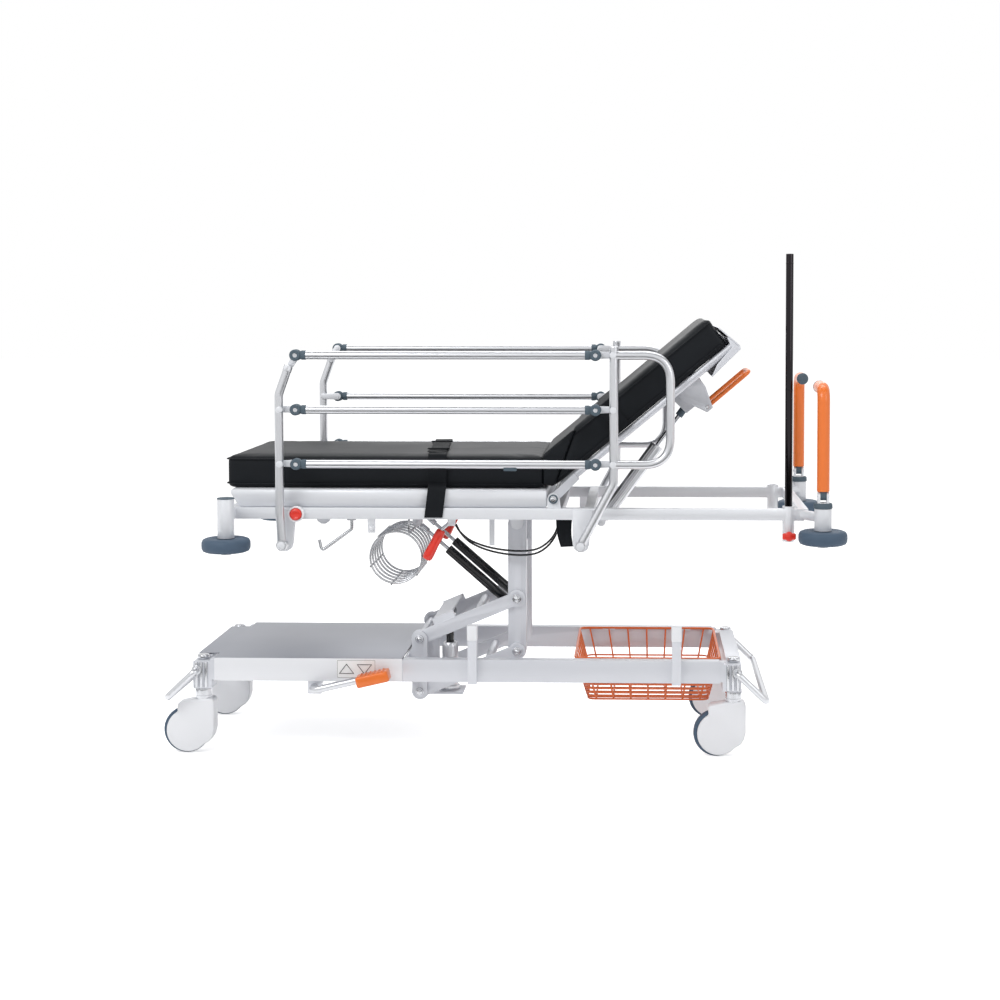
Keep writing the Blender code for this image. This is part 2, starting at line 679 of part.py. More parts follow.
def make_castor_hood(name, x, y):
    """A moulded hood round the top of the wheel, with the axle and the stem in one piece."""
    half = WHEEL_WIDTH / 2 + RUNNING + HOOD_WALL
    axle_x = x - TRAIL
    outline = arc((axle_x + HOOD_DISC_SHIFT, WHEEL_RADIUS), HOOD_DISC_RADIUS, 118, 317, 9)
    outline += [(axle_x + dx, WHEEL_RADIUS + dz) for dx, dz in HOOD_SHOULDER]
    shell = plate(outline, y - half, y + half)
    stem = rod((x, y, HOOD_TOP - 0.010), (x, y, STEM_TOP), STEM_RADIUS, 12)
    spigot = rod((x, y, STEM_TOP - 0.010), (x, y, HOUSING_TOP - 0.006), STEM_SPIGOT, 8)
    slot_half = WHEEL_WIDTH / 2 + RUNNING
    slot_radius = WHEEL_RADIUS + 0.003
    slot = cross_rod(axle_x, WHEEL_RADIUS, y - slot_half, y + slot_half,
                     slot_radius / math.cos(math.pi / 18), 18)
    axle = cross_rod(axle_x, WHEEL_RADIUS, y - half + 0.002, y + half - 0.002, AXLE_RADIUS, 8)
    body = combine(shell, [stem, spigot], "UNION")
    body = combine(body, [slot], "DIFFERENCE")
    solid("castor_hood_" + name, [body, axle], WHITE, origin=(x, y, HOOD_TOP))


def round_edges(item, width):
    """Round the long edges of a thick plate."""
    shape = bmesh.new()
    shape.from_mesh(item.data)
    edges = [e for e in shape.edges if abs(e.verts[0].co.y - e.verts[1].co.y) < 1e-5]
    bmesh.ops.bevel(shape, geom=edges, offset=width, segments=1, affect="EDGES", clamp_overlap=True)
    shape.to_mesh(item.data)
    shape.free()


def make_castor_wheel(name, x, y):
    """A tyre and hub turned in one, with a bore for the axle."""
    half = WHEEL_WIDTH / 2
    bore = bored(AXLE_RADIUS, 20)
    near = [(bore, -half), (0.020, -half), (0.042, -half + 0.004),
            (WHEEL_RADIUS - 0.006, -half), (WHEEL_RADIUS, -half + 0.008)]
    wheel = turned(near + [(radius, -height) for radius, height in reversed(near)], 20)
    centre = Matrix.Translation((x, y, WHEEL_RADIUS)) @ Matrix.Rotation(math.pi / 2, 4, "X")
    solid("castor_wheel_" + name, [moved(wheel, centre)], TYRE, origin=(x, y, WHEEL_RADIUS))


def make_brake_bars():
    """A U-shaped bar across each end, on stub ends that turn in the beams."""
    for end, stem_x in ENDS:
        away = -1 if end == "foot" else 1
        x = brake_pivot_x(stem_x)
        y = BRAKE_ARM_Y
        tip_x, tip_z = x + away * BRAKE_REACH, BRAKE_PIVOT_Z - BRAKE_DROP
        path = rounded_path([(x, -BASE_HALF_WIDTH + 0.010, BRAKE_PIVOT_Z), (x, -y, BRAKE_PIVOT_Z),
                             (tip_x, -y, tip_z), (tip_x, y, tip_z), (x, y, BRAKE_PIVOT_Z),
                             (x, BASE_HALF_WIDTH - 0.010, BRAKE_PIVOT_Z)], 0.010, 3)
        solid("brake_bar_" + end, [swept(path, BRAKE_RADIUS, 2)], CHROME, origin=(x, 0, BRAKE_PIVOT_Z))


def make_pedal():
    """The pump lever on its shaft in the near beam, with an orange pad."""
    y = -BASE_HALF_WIDTH - 0.040
    x0, z0 = PEDAL_SHAFT_X, PEDAL_SHAFT_Z
    tip = Vector((x0 + PEDAL_RUN[0], y, z0 + PEDAL_RUN[1]))
    path = rounded_path([(x0, -0.120, z0), (x0, y, z0), tip], 0.016, 3)
    solid("pump_lever", [swept(path, PEDAL_RADIUS)], CHROME, origin=(x0, y, z0))
    run = tip - Vector((x0, y, z0))
    centre = tip - run.normalized() * (PEDAL_PAD_LENGTH / 2 - 0.004)
    tilt = math.atan2(run.z, run.x)
    half, thick = PEDAL_PAD_LENGTH / 2, PEDAL_PAD_THICKNESS
    pad = box(-half, half, -PEDAL_PAD_WIDTH / 2, PEDAL_PAD_WIDTH / 2, -0.018, thick, 0.004)
    hole = rod((-half - 0.01, 0, 0), (half + 0.01, 0, 0), bored(PEDAL_RADIUS, 12), 12)
    place = Matrix.Translation(centre) @ Matrix.Rotation(-tilt, 4, "Y")
    solid("pump_pedal_pad", [moved(pad, place)], ORANGE, [moved(hole, place)])


def arm_plates(lower):
    """Both flat arms of one level, joined by a cross tube."""
    foot, head = lift_point(0, 0, lower), lift_point(ARM_LENGTH, 0, lower)
    shapes = []
    for _, side in SIDES:
        bar = link_outline(foot, head, ARM_HALF_HEIGHT, 3)
        shapes.append(side_plate(side, bar, ARM_INNER_Y, ARM_OUTER_Y))
        for x, z in (foot, head):
            y0, y1 = mirrored_span(side, ARM_INNER_Y, ARM_OUTER_Y)
            shapes.append(cross_rod(x, z, y0, y1, ARM_HUB_RADIUS, 14))
    tube_at = lift_point(0.200 if lower else 0.170, 0, lower)
    shapes.append(cross_rod(*tube_at, -ARM_INNER_Y - 0.004, ARM_INNER_Y + 0.004, 0.012, 10))
    cutters = [cross_rod(x, z, -0.2, 0.2, bored(PIVOT_RADIUS, 10), 10) for x, z in (foot, head)]
    return shapes, cutters


def make_lift_arms():
    """The upper arms with the cam plate over the jack, and the plain lower arms."""
    shapes, cutters = arm_plates(False)
    cam = [lift_point(s, n) for s, n in ((0.055, CAM_OFFSET), (0.108, CAM_OFFSET),
                                         (0.108, CAM_OFFSET + CAM_THICKNESS), (0.055, CAM_OFFSET + CAM_THICKNESS))]
    shapes.append(plate(cam, -ARM_INNER_Y - 0.004, ARM_INNER_Y + 0.004))
    top = CAM_OFFSET + CAM_THICKNESS
    cheek = [lift_point(s, n) for s, n in ((0.050, 0.0), (0.113, 0.0), (0.113, top), (0.050, top))]
    for _, side in SIDES:
        shapes.append(side_plate(side, cheek, ARM_INNER_Y, ARM_INNER_Y + 0.006))
    origin = lift_point(0, 0)
    solid("upper_lift_arms", shapes, PAINT, cutters, origin=(origin[0], 0, origin[1]))
    shapes, cutters = arm_plates(True)
    origin = lift_point(0, 0, True)
    solid("lower_lift_arms", shapes, PAINT, cutters, origin=(origin[0], 0, origin[1]))


def make_columns():
    """Two upright columns joined by shafts, with an eye at the top for the tilt shaft."""
    half = COLUMN_WIDTH / 2
    shapes = []
    for _, side in SIDES:
        outline = arc((COLUMN_X, COLUMN_LOWER_Z), half, 180, 360, 6)
        outline += arc((COLUMN_X, TILT_PIVOT_Z), half, 0, 180, 6)
        shapes.append(side_plate(side, outline, COLUMN_INNER_Y, COLUMN_OUTER_Y))
    for z in (COLUMN_LOWER_Z, COLUMN_UPPER_Z):
        reach = ARM_OUTER_Y + GAP + 0.005
        shapes.append(cross_rod(COLUMN_X, z, -reach, reach, PIVOT_RADIUS, 10))
        for _, side in SIDES:
            y0, y1 = mirrored_span(side, ARM_OUTER_Y + GAP, reach)
            shapes.append(cross_rod(COLUMN_X, z, y0, y1, 0.015, 6))
    inside = COLUMN_INNER_Y + 0.004
    shapes.append(cross_rod(*SPRING_FOOT, -inside, inside, SPRING_PIN_RADIUS, 10))
    shapes.append(box(COLUMN_X - 0.016, COLUMN_X + 0.016, -inside, inside, 0.505, 0.545))
    cutters = [cross_rod(COLUMN_X, TILT_PIVOT_Z, -0.2, 0.2, bored(PIVOT_RADIUS, 10), 10)]
    solid("lift_columns", shapes, PAINT, cutters, origin=(COLUMN_X, 0, COLUMN_LOWER_Z))


def make_tilt_springs():
    """Two gas springs between the columns and the platform."""
    foot, head = Vector((SPRING_FOOT[0], 0, SPRING_FOOT[1])), Vector((SPRING_HEAD[0], 0, SPRING_HEAD[1]))
    along = (head - foot).normalized()
    for side_name, side in SIDES:
        shift = Vector((0, side * SPRING_Y, 0))
        start, end = foot + shift, head + shift
        tube = rod(start + along * 0.008, start + along * SPRING_BODY_LENGTH, SPRING_RADIUS, 12)
        eye = cross_rod(start.x, start.z, start.y - 0.009, start.y + 0.009, SPRING_PIN_RADIUS + 0.007, 12)
        bore = rod(start + along * 0.060, start + along * (SPRING_BODY_LENGTH + 0.01),
                   SPRING_ROD_RADIUS + SLIDING, 8)
        pin = cross_rod(start.x, start.z, start.y - 0.03, start.y + 0.03, bored(SPRING_PIN_RADIUS, 10), 10)
        solid("tilt_spring_cylinder_" + side_name, [tube, eye], BLACK_PAINT, [bore, pin], origin=start)
        bar = rod(start + along * 0.110, end - along * 0.012, SPRING_ROD_RADIUS, 8)
        ring = cross_rod(end.x, end.z, end.y - 0.008, end.y + 0.008,
                         SPRING_PIN_RADIUS + OPEN_PIVOT_CLEARANCE + 0.005, 12)
        slack = cross_rod(end.x, end.z, end.y - 0.03, end.y + 0.03,
                          SPRING_PIN_RADIUS + OPEN_PIVOT_CLEARANCE, 10)
        solid("tilt_spring_rod_" + side_name, [bar, ring], CHROME, [slack], origin=end)


def cross_member(x, reach=PLATFORM_BEAM_Y):
    """A tube across the platform at one place."""
    half = PLATFORM_BEAM_WIDTH / 2
    return box(x - half, x + half, -reach, reach, PLATFORM_BOTTOM + 0.001, PLATFORM_TOP - 0.001)


def bumper_mount(x, side, disc_top, post_top, disc_z):
    """A bumper's post with the axle that its roller turns on and the cap below it."""
    y = side * BUMPER_Y
    post = rod((x, y, disc_top + GAP), (x, y, post_top), BUMPER_POST_RADIUS, 12)
    axle = rod((x, y, disc_z - 0.006), (x, y, disc_top + 0.01), BUMPER_AXLE_RADIUS, 8)
    cap = rod((x, y, disc_z - 0.008), (x, y, disc_z - GAP), 0.014, 8)
    return [post, axle, cap]


def push_clevis(side):
    """Two cheeks on a head post that hold the push handle's pin."""
    y = side * BUMPER_Y
    inner = PUSH_TONGUE / 2 + GAP
    shapes = []
    for away in (-1, 1):
        x0, x1 = sorted((HEAD_BUMPER_X + away * inner, HEAD_BUMPER_X + away * (inner + PUSH_CHEEK)))
        cheek = box(x0, x1, y - PUSH_CHEEK_RADIUS, y + PUSH_CHEEK_RADIUS, 0.688, PUSH_PIVOT_Z)
        top = rod((x0, y, PUSH_PIVOT_Z), (x1, y, PUSH_PIVOT_Z), PUSH_CHEEK_RADIUS, 12)
        shapes += [cheek, top]
    reach = inner + PUSH_CHEEK + 0.002
    shapes.append(rod((HEAD_BUMPER_X - reach, y, PUSH_PIVOT_Z), (HEAD_BUMPER_X + reach, y, PUSH_PIVOT_Z), 0.004, 8))
    return shapes


def rail_bracket(side, pivot):
    """The outside plate below a beam, with the stub that a rail post turns on."""
    x, z = pivot
    top = PLATFORM_TOP - 0.004
    outline = arc((x, z), 0.022, 180, 360, 5) + [(x + 0.030, top), (x - 0.022, top)]
    shapes = [side_plate(side, outline, PLATFORM_HALF_WIDTH - 0.005, PLATFORM_HALF_WIDTH + 0.007)]
    spans = ((PLATFORM_HALF_WIDTH + 0.004, RAIL_INNER_Y - GAP, 0.012),
             (RAIL_INNER_Y - 0.004, RAIL_OUTER_Y + 0.005, RAIL_PIN_RADIUS),
             (RAIL_OUTER_Y + GAP, RAIL_OUTER_Y + 0.005, 0.011))
    for inner, outer, radius in spans:
        y0, y1 = mirrored_span(side, inner, outer)
        shapes.append(cross_rod(x, z, y0, y1, radius, 8))
    return shapes


def make_under_frame():
    """The platform's box frame with every bracket, post and socket it carries."""
    shapes = []
    reach = BUMPER_Y - 0.010
    shapes += [cross_member(FOOT_MEMBER_X, reach), cross_member(HEAD_MEMBER_X)]
    shapes += [cross_member(x) for x in (SPRING_HEAD[0], SPINE_MEMBER_X, PROP_MEMBER_X)]
    shapes.append(box(COLUMN_X - 0.030, COLUMN_X + 0.030, -PLATFORM_BEAM_Y, PLATFORM_BEAM_Y, 0.653, 0.671))
    lug_radius = 0.018
    for _, side in SIDES:
        shapes.append(side_box(side, FOOT_MEMBER_X, HEAD_MEMBER_X, PLATFORM_INNER_Y, PLATFORM_HALF_WIDTH,
                               PLATFORM_BOTTOM, PLATFORM_TOP))
        corner = rod((HEAD_MEMBER_X - 0.004, side * PLATFORM_BEAM_Y, 0.658),
                     (HEAD_BUMPER_X, side * BUMPER_Y, 0.658), 0.013, 12)
        shapes.append(corner)
        shapes += bumper_mount(FOOT_MEMBER_X, side, FOOT_BUMPER_TOP, 0.703, FOOT_BUMPER_TOP - BUMPER_WIDTH)
        shapes += bumper_mount(HEAD_BUMPER_X, side, HEAD_BUMPER_TOP, 0.696, HEAD_BUMPER_TOP - BUMPER_WIDTH)
        shapes += push_clevis(side)
        shapes += rail_bracket(side, FOOT_PIVOT)
        shapes += rail_bracket(side, HEAD_PIVOT)
        for inner in (COLUMN_INNER_Y - GAP - 0.008, COLUMN_OUTER_Y + GAP + 0.001):
            tab = arc((COLUMN_X, TILT_PIVOT_Z), lug_radius, 180, 360, 4)
            tab += [(COLUMN_X + lug_radius, 0.656), (COLUMN_X - lug_radius, 0.656)]
            shapes.append(side_plate(side, tab, inner, inner + 0.008))
        for inner in (SPRING_Y - 0.016, SPRING_Y + 0.010):
            tab = arc(SPRING_HEAD, 0.012, 180, 360, 4)
            tab += [(SPRING_HEAD[0] + 0.012, 0.647), (SPRING_HEAD[0] - 0.012, 0.647)]
            shapes.append(side_plate(side, tab, inner, inner + 0.006))
        y0, y1 = mirrored_span(side, SPRING_Y - 0.018, SPRING_Y + 0.018)
        shapes.append(cross_rod(*SPRING_HEAD, y0, y1, SPRING_PIN_RADIUS, 10))
        ear = arc((HINGE_X, HINGE_Z), 0.016, 0, 180, 5)
        ear += [(HINGE_X - 0.016, PLATFORM_TOP - 0.004), (HINGE_X + 0.020, PLATFORM_TOP - 0.004)]
        shapes.append(side_plate(side, ear, BACK_EAR_INNER, BACK_EAR_INNER + 0.010))
        socket = rod((POLE_X, side * PLATFORM_BEAM_Y, POLE_SOCKET_BOTTOM),
                     (POLE_X, side * PLATFORM_BEAM_Y, 0.680), POLE_SOCKET_RADIUS, 12)
        shapes.append(socket)
        shapes.append(latch_ring(side))
        lever_tab = [(LEVER_PIVOT[0] - 0.012, 0.647), (LEVER_PIVOT[0] - 0.009, 0.618),
                     (LEVER_PIVOT[0] + 0.009, 0.618), (LEVER_PIVOT[0] + 0.012, 0.647)]
        shapes.append(side_plate(side, lever_tab, LEVER_Y + 0.0085, LEVER_Y + 0.0135))
        shapes.append(side_box(side, LEVER_PIVOT[0] - 0.016, LEVER_PIVOT[0] + 0.016, LEVER_Y + 0.005,
                               PLATFORM_BEAM_Y, 0.645, 0.652))
        y0, y1 = mirrored_span(side, LEVER_Y - 0.0085, LEVER_Y + 0.012)
        shapes.append(cross_rod(*LEVER_PIVOT, y0, y1, 0.003, 8))
    prop_tab = arc(PROP_FOOT, 0.012, 220, 360, 4)
    prop_tab += [(PROP_MEMBER_X + 0.011, 0.647), (PROP_MEMBER_X - 0.011, 0.647)]
    for y in (PROP_Y - 0.0207, PROP_Y + 0.0147):
        shapes.append(plate(prop_tab, y, y + 0.006))
    shapes.append(cross_rod(*PROP_FOOT, PROP_Y - 0.022, PROP_Y + 0.022, 0.005, 10))
    shapes.append(box(-0.354, -0.334, 0.007 - PLATFORM_HALF_WIDTH, 0.013 - PLATFORM_HALF_WIDTH, 0.606,
                      PLATFORM_BOTTOM + 0.003))
    shapes.append(box(HANGER_X - 0.007, HANGER_X + 0.007, CABLE_Y - 0.002, CABLE_Y + 0.002,
                      0.5605, PLATFORM_BOTTOM + 0.011))
    shapes.append(box(HANGER_X - 0.007, HANGER_X + 0.007, -PLATFORM_BEAM_Y, CABLE_Y + 0.002,
                      PLATFORM_BOTTOM + 0.007, PLATFORM_BOTTOM + 0.011))
    cutters = []
    for _, side in SIDES:
        y0, y1 = mirrored_span(side, PLATFORM_INNER_Y - 0.020, PLATFORM_HALF_WIDTH + 0.025)
        cutters.append(cross_rod(HINGE_X, HINGE_Z, y0, y1, bored(HINGE_ROD_RADIUS, 10), 10))
        cutters.append(rod((POLE_X, side * PLATFORM_BEAM_Y, 0.5), (POLE_X, side * PLATFORM_BEAM_Y, 0.8),
                           bored(POLE_RADIUS, 12), 12))
        y0, y1 = mirrored_span(side, PLATFORM_HALF_WIDTH - 0.007, PLATFORM_HALF_WIDTH + 0.055)
        cutters.append(cross_rod(*LATCH, y0, y1, bored(LATCH_RADIUS, 12), 12))
    cutters.append(rod((POLE_X, -PLATFORM_HALF_WIDTH - 0.015, KNOB_Z),
                       (POLE_X, -PLATFORM_BEAM_Y + 0.0125, KNOB_Z), bored(0.003, 8), 8))
    solid("under_frame", shapes, PAINT, cutters, origin=(COLUMN_X, 0, TILT_PIVOT_Z))


def latch_ring(side):
    """The round housing that a latch button slides in."""
    y0, y1 = mirrored_span(side, PLATFORM_HALF_WIDTH - 0.005, PLATFORM_HALF_WIDTH + 0.019)
    return cross_rod(*LATCH, y0, y1, LATCH_RING_RADIUS, 12)


def make_deck():
    """The shallow tray below the seat mattress, with a slanted foot end."""
    bottom = PLATFORM_TOP + GAP
    shapes = [box(DECK_FOOT_X, DECK_HEAD_X, -DECK_HALF_WIDTH, DECK_HALF_WIDTH, bottom, DECK_TOP, 0.004)]
    hollow = box(DECK_FOOT_X + DECK_RIM, DECK_HEAD_X - DECK_RIM, -DECK_HALF_WIDTH + DECK_RIM,
                 DECK_HALF_WIDTH - DECK_RIM, bottom - 0.02, DECK_TOP - DECK_SKIN)
    corner = plate([(DECK_FOOT_X - 0.02, bottom - 0.01), (DECK_FOOT_X + 0.030, bottom - 0.01),
                    (DECK_FOOT_X - 0.001, DECK_TOP - 0.010), (DECK_FOOT_X - 0.02, DECK_TOP - 0.010)], -0.3, 0.3)
    solid("deck_panel", shapes, PAINT, [hollow, corner], smooth=False)


def make_bumper_wheels():
    """Four rubber discs that roll about upright axles."""
    places = (("foot", FOOT_MEMBER_X, FOOT_BUMPER_TOP), ("head", HEAD_BUMPER_X, HEAD_BUMPER_TOP))
    half = BUMPER_WIDTH / 2
    bore = bored(BUMPER_AXLE_RADIUS, 18)
    for end, x, top in places:
        for side_name, side in SIDES:
            profile = [(bore, -half), (BUMPER_RADIUS - 0.008, -half), (BUMPER_RADIUS, -half + 0.009),
                       (BUMPER_RADIUS, half - 0.009), (BUMPER_RADIUS - 0.008, half), (bore, half)]
            place = (x, side * BUMPER_Y, top - half)
            disc = moved(turned(profile, 18), Matrix.Translation(place))
            solid("bumper_wheel_" + end + "_" + side_name, [disc], BLUE_GREY, origin=place)


def make_mattress():
    """The seat mattress and the back mattress, whose lower end clears the seat at 60 degrees."""
    bottom = DECK_TOP + GAP
    top = bottom + MATTRESS_THICKNESS
    seat = box(MATTRESS_FOOT_X, DECK_HEAD_X - 0.001, -MATTRESS_HALF_WIDTH, MATTRESS_HALF_WIDTH, bottom, top,
               MATTRESS_ROUND)
    solid("seat_mattress", [seat], MATTRESS)
    low, high = BACK_PAD_OFFSET, BACK_PAD_OFFSET + MATTRESS_THICKNESS
    most = BACK_ANGLE + BACK_RANGE_UP
    face_x = DECK_HEAD_X - HINGE_X
    starts = [(face_x + n * math.sin(most)) / math.cos(most) for n in (low, high)]
    outline = [(starts[0] + 0.002, low), (BACK_LENGTH - 0.010, low), (BACK_LENGTH, low + 0.010),
               (BACK_LENGTH, high - 0.010), (BACK_LENGTH - 0.010, high), (starts[1] + 0.002, high)]
    points = [back_point(u, n) for u, n in outline]
    pad = plate([(p.x, p.z) for p in points], -MATTRESS_HALF_WIDTH, MATTRESS_HALF_WIDTH)
    round_edges(pad, 0.010)
    solid("back_mattress", [pad], MATTRESS, origin=(HINGE_X, 0, HINGE_Z))


def band(outline, x0, x1, thickness):
    """A webbing band from (y, z) points, closed across its thickness."""
    shape = bmesh.new()
    outer = [Vector((0, y, z)) for y, z in outline]
    inner = []
    for i, point in enumerate(outer):
        before = outer[max(i - 1, 0)]
        after = outer[min(i + 1, len(outer) - 1)]
        run = (after - before).normalized()
        inner.append(point + Vector((0, run.z, -run.y)) * thickness)
    rows = []
    for x in (x0, x1):
        rows.append([shape.verts.new((x, p.y, p.z)) for p in outer]
                    + [shape.verts.new((x, p.y, p.z)) for p in reversed(inner)])
    count = len(rows[0])
    for i in range(count):
        j = (i + 1) % count
        shape.faces.new([rows[0][i], rows[0][j], rows[1][j], rows[1][i]])
    last = len(outer) - 1
    for row in rows:
        for i in range(last):
            shape.faces.new([row[i], row[i + 1], row[count - 2 - i], row[count - 1 - i]])
    return from_bmesh(shape)


def make_straps():
    """A strap over the seat mattress and one round the foot of the back mattress."""
    top = DECK_TOP + MATTRESS_THICKNESS + 0.0010 + STRAP_THICKNESS
    side_y = MATTRESS_HALF_WIDTH + STRAP_THICKNESS + 0.0012
    low_y = PLATFORM_HALF_WIDTH + STRAP_THICKNESS + 0.0012
    half = [(-low_y, 0.648), (-low_y, 0.690), (-DECK_HALF_WIDTH - 0.006, DECK_TOP + 0.004),
            (-side_y, DECK_TOP + 0.020), (-side_y, top - 0.010), (-side_y + 0.010, top)]
    outline = half + [(-y, z) for y, z in reversed(half)]
    half_width = STRAP_WIDTH / 2
    seat_band = band(outline, STRAP_X - half_width, STRAP_X + half_width, STRAP_THICKNESS)
    solid("seat_strap", [seat_band], WEBBING)
    ring_y = MATTRESS_HALF_WIDTH + STRAP_THICKNESS + GAP
    high = BACK_PAD_OFFSET + MATTRESS_THICKNESS + STRAP_THICKNESS + GAP
    wrap = [(-ring_y, 0.024), (-ring_y, high - 0.006), (-ring_y + 0.006, high),
            (ring_y - 0.006, high), (ring_y, high - 0.006), (ring_y, 0.024)]
    shape = band(wrap, BACK_STRAP_AT, BACK_STRAP_AT + STRAP_WIDTH, STRAP_THICKNESS)
    turn = Matrix.Translation((HINGE_X, 0, HINGE_Z)) @ Matrix.Rotation(-BACK_ANGLE, 4, "Y")
    solid("back_strap", [moved(shape, turn)], WEBBING, origin=(HINGE_X, 0, HINGE_Z))


def make_backrest_frame():
    """Side tubes, cross tubes, hinge bosses, release bracket and the bent head plate."""
    shapes = []
    for _, side in SIDES:
        y = side * BACK_TUBE_Y
        path = [back_point(0.040, BACK_TUBE_RISE, y), back_point(BACK_LENGTH + 0.0125, BACK_TUBE_RISE, y)]
        shapes.append(rod(*path, BACK_TUBE_RADIUS, 10))
        y0, y1 = mirrored_span(side, BACK_EAR_INNER - 0.020, BACK_EAR_INNER - GAP)
        shapes.append(cross_rod(HINGE_X, HINGE_Z, y0, y1, 0.0145, 12))
        arm = [back_point(u, n) for u, n in ((0.0, -0.0125), (0.085, -0.004), (0.085, 0.016),
                                             (0.0, 0.0125))]
        outline = [(p.x, p.z) for p in arm]
        shapes.append(side_plate(side, outline, BACK_TUBE_Y + 0.002, BACK_EAR_INNER - 0.004))
        bracket = [back_point(u, n) for u, n in ((0.425, 0.008), (0.503, 0.008), (0.499, -0.037),
                                                 (0.478, -0.094), (0.458, -0.094), (0.428, -0.030))]
        y0, y1 = mirrored_span(side, PROP_BRACKET_Y, PROP_BRACKET_Y + 0.005)
        shapes.append(plate([(p.x, p.z) for p in bracket], y0, y1))
    for u in (0.120, 0.440, 0.490):
        shapes.append(rod(back_point(u, BACK_TUBE_RISE, -BACK_TUBE_Y),
                          back_point(u, BACK_TUBE_RISE, BACK_TUBE_Y), 0.009, 8))
    head = BACK_LENGTH + 0.0012
    outline = [(0.529, -0.020), (head + 0.012, -0.010), (head + 0.016, 0.000), (head + 0.003, 0.072),
               (head, 0.072), (head + 0.012, 0.001), (head + 0.010, -0.006), (0.529, -0.0165)]
    points = [back_point(u, n) for u, n in outline]
    skirt = plate([(p.x, p.z) for p in points], -BACK_TUBE_Y - 0.012, BACK_TUBE_Y + 0.012)
    shapes.append(skirt)
    fork = [back_point(u, n) for u, n in ((0.405, 0.008), (0.455, 0.008), (0.450, -0.062), (0.412, -0.062))]
    for y in (PROP_Y - 0.024, PROP_Y + 0.020):
        shapes.append(plate([(p.x, p.z) for p in fork], y, y + 0.004))
    pivot = back_point(*HANDLE_PIVOT)
    cutters = [cross_rod(HINGE_X, HINGE_Z, -0.3, 0.3, bored(HINGE_ROD_RADIUS, 10), 10),
               cross_rod(pivot.x, pivot.z, -0.12, 0.12, bored(0.005, 10), 10)]
    solid("backrest_frame", shapes, PAINT, cutters, origin=(HINGE_X, 0, HINGE_Z))
    pin_reach = BACK_EAR_INNER + 0.010 + GAP
    heads = []
    for _, side in SIDES:
        y0, y1 = mirrored_span(side, pin_reach, pin_reach + 0.005)
        heads.append(cross_rod(HINGE_X, HINGE_Z, y0, y1, 0.011, 12))
    pin = cross_rod(HINGE_X, HINGE_Z, -pin_reach - 0.003, pin_reach + 0.003, HINGE_ROD_RADIUS, 10)
    solid("backrest_hinge_rod", [pin, *heads], CHROME, origin=(HINGE_X, 0, HINGE_Z))


def make_release_handle():
    """The orange U handle on a cross rod below the backrest."""
    u, n = HANDLE_PIVOT
    y = HANDLE_HALF_WIDTH
    end = (u + HANDLE_REACH, n + 0.002)
    path = rounded_path([back_point(u, n, -y), back_point(*end, -y), back_point(*end, y),
                         back_point(u, n, y)], 0.022, 4)
    pivot = back_point(u, n)
    reach = PROP_BRACKET_Y + 0.004
    grip, axle = swept(path, HANDLE_RADIUS, 2), cross_rod(pivot.x, pivot.z, -reach, reach, 0.005, 10)
    solid("backrest_release_handle", [grip, axle], ORANGE, origin=pivot)


def make_back_prop():
    """The gas spring that holds the backrest: cylinder on the platform, rod up to the fork."""
    foot = Vector((PROP_FOOT[0], PROP_Y, PROP_FOOT[1]))
    head = back_point(*PROP_HEAD, PROP_Y)
    along = (head - foot).normalized()
    tube = rod(foot + along * 0.008, foot + along * PROP_BODY_LENGTH, PROP_RADIUS, 14)
    sleeve = rod(foot + along * PROP_SLEEVE[0], foot + along * PROP_SLEEVE[1], PROP_SLEEVE_RADIUS, 14)
    eye = cross_rod(foot.x, foot.z, PROP_Y - 0.0142, PROP_Y + 0.0142, 0.012, 12)
    bore = rod(foot + along * 0.045, foot + along * (PROP_BODY_LENGTH + 0.01), 0.006 + SLIDING, 10)
    pin = cross_rod(foot.x, foot.z, PROP_Y - 0.03, PROP_Y + 0.03, bored(0.005, 10), 10)
    solid("back_prop_cylinder", [tube, sleeve, eye], CHROME, [bore, pin], origin=foot)
    bar = rod(foot + along * 0.150, head - along * 0.006, 0.006, 10)
    fitting = cross_rod(head.x, head.z, PROP_Y - 0.0192, PROP_Y + 0.0192, 0.012, 12)
    solid("back_prop_rod", [bar, fitting], BLUE_GREY, origin=head)


def knuckle(pivot, z):
    """World (x, z) of a rail's knuckle over a post pivot."""
    return (pivot[0] + KNUCKLE_X, pivot[1] + z)


def post_boss(side, pivot):
    """The boss that a rail post turns on."""
    y0, y1 = mirrored_span(side, RAIL_INNER_Y, RAIL_OUTER_Y)
    return cross_rod(*pivot, y0, y1, RAIL_BOSS_RADIUS, 12)


def knuckle_lugs(side, pivot, starts):
    """Paired tabs from a post to each rail knuckle, with a cross boss and the knuckle's pin."""
    shapes = []
    half = KNUCKLE_WIDTH / 2
    for start, z in zip(starts, KNUCKLE_ZS):
        centre = knuckle(pivot, z)
        for inner in (RAIL_Y - half - GAP - 0.004, RAIL_Y + half + GAP):
            outline = link_outline(start, centre, 0.008, 2)
            shapes.append(side_plate(side, outline, inner, inner + 0.004))
        y0, y1 = mirrored_span(side, RAIL_Y - half - 0.003, RAIL_Y + half + 0.003)
        shapes.append(cross_rod(*centre, y0, y1, 0.004, 6))
        y0, y1 = mirrored_span(side, RAIL_Y - half - 0.0038, RAIL_Y + half + 0.0038)
        shapes.append(cross_rod(*start, y0, y1, 0.010, 8))
    return shapes


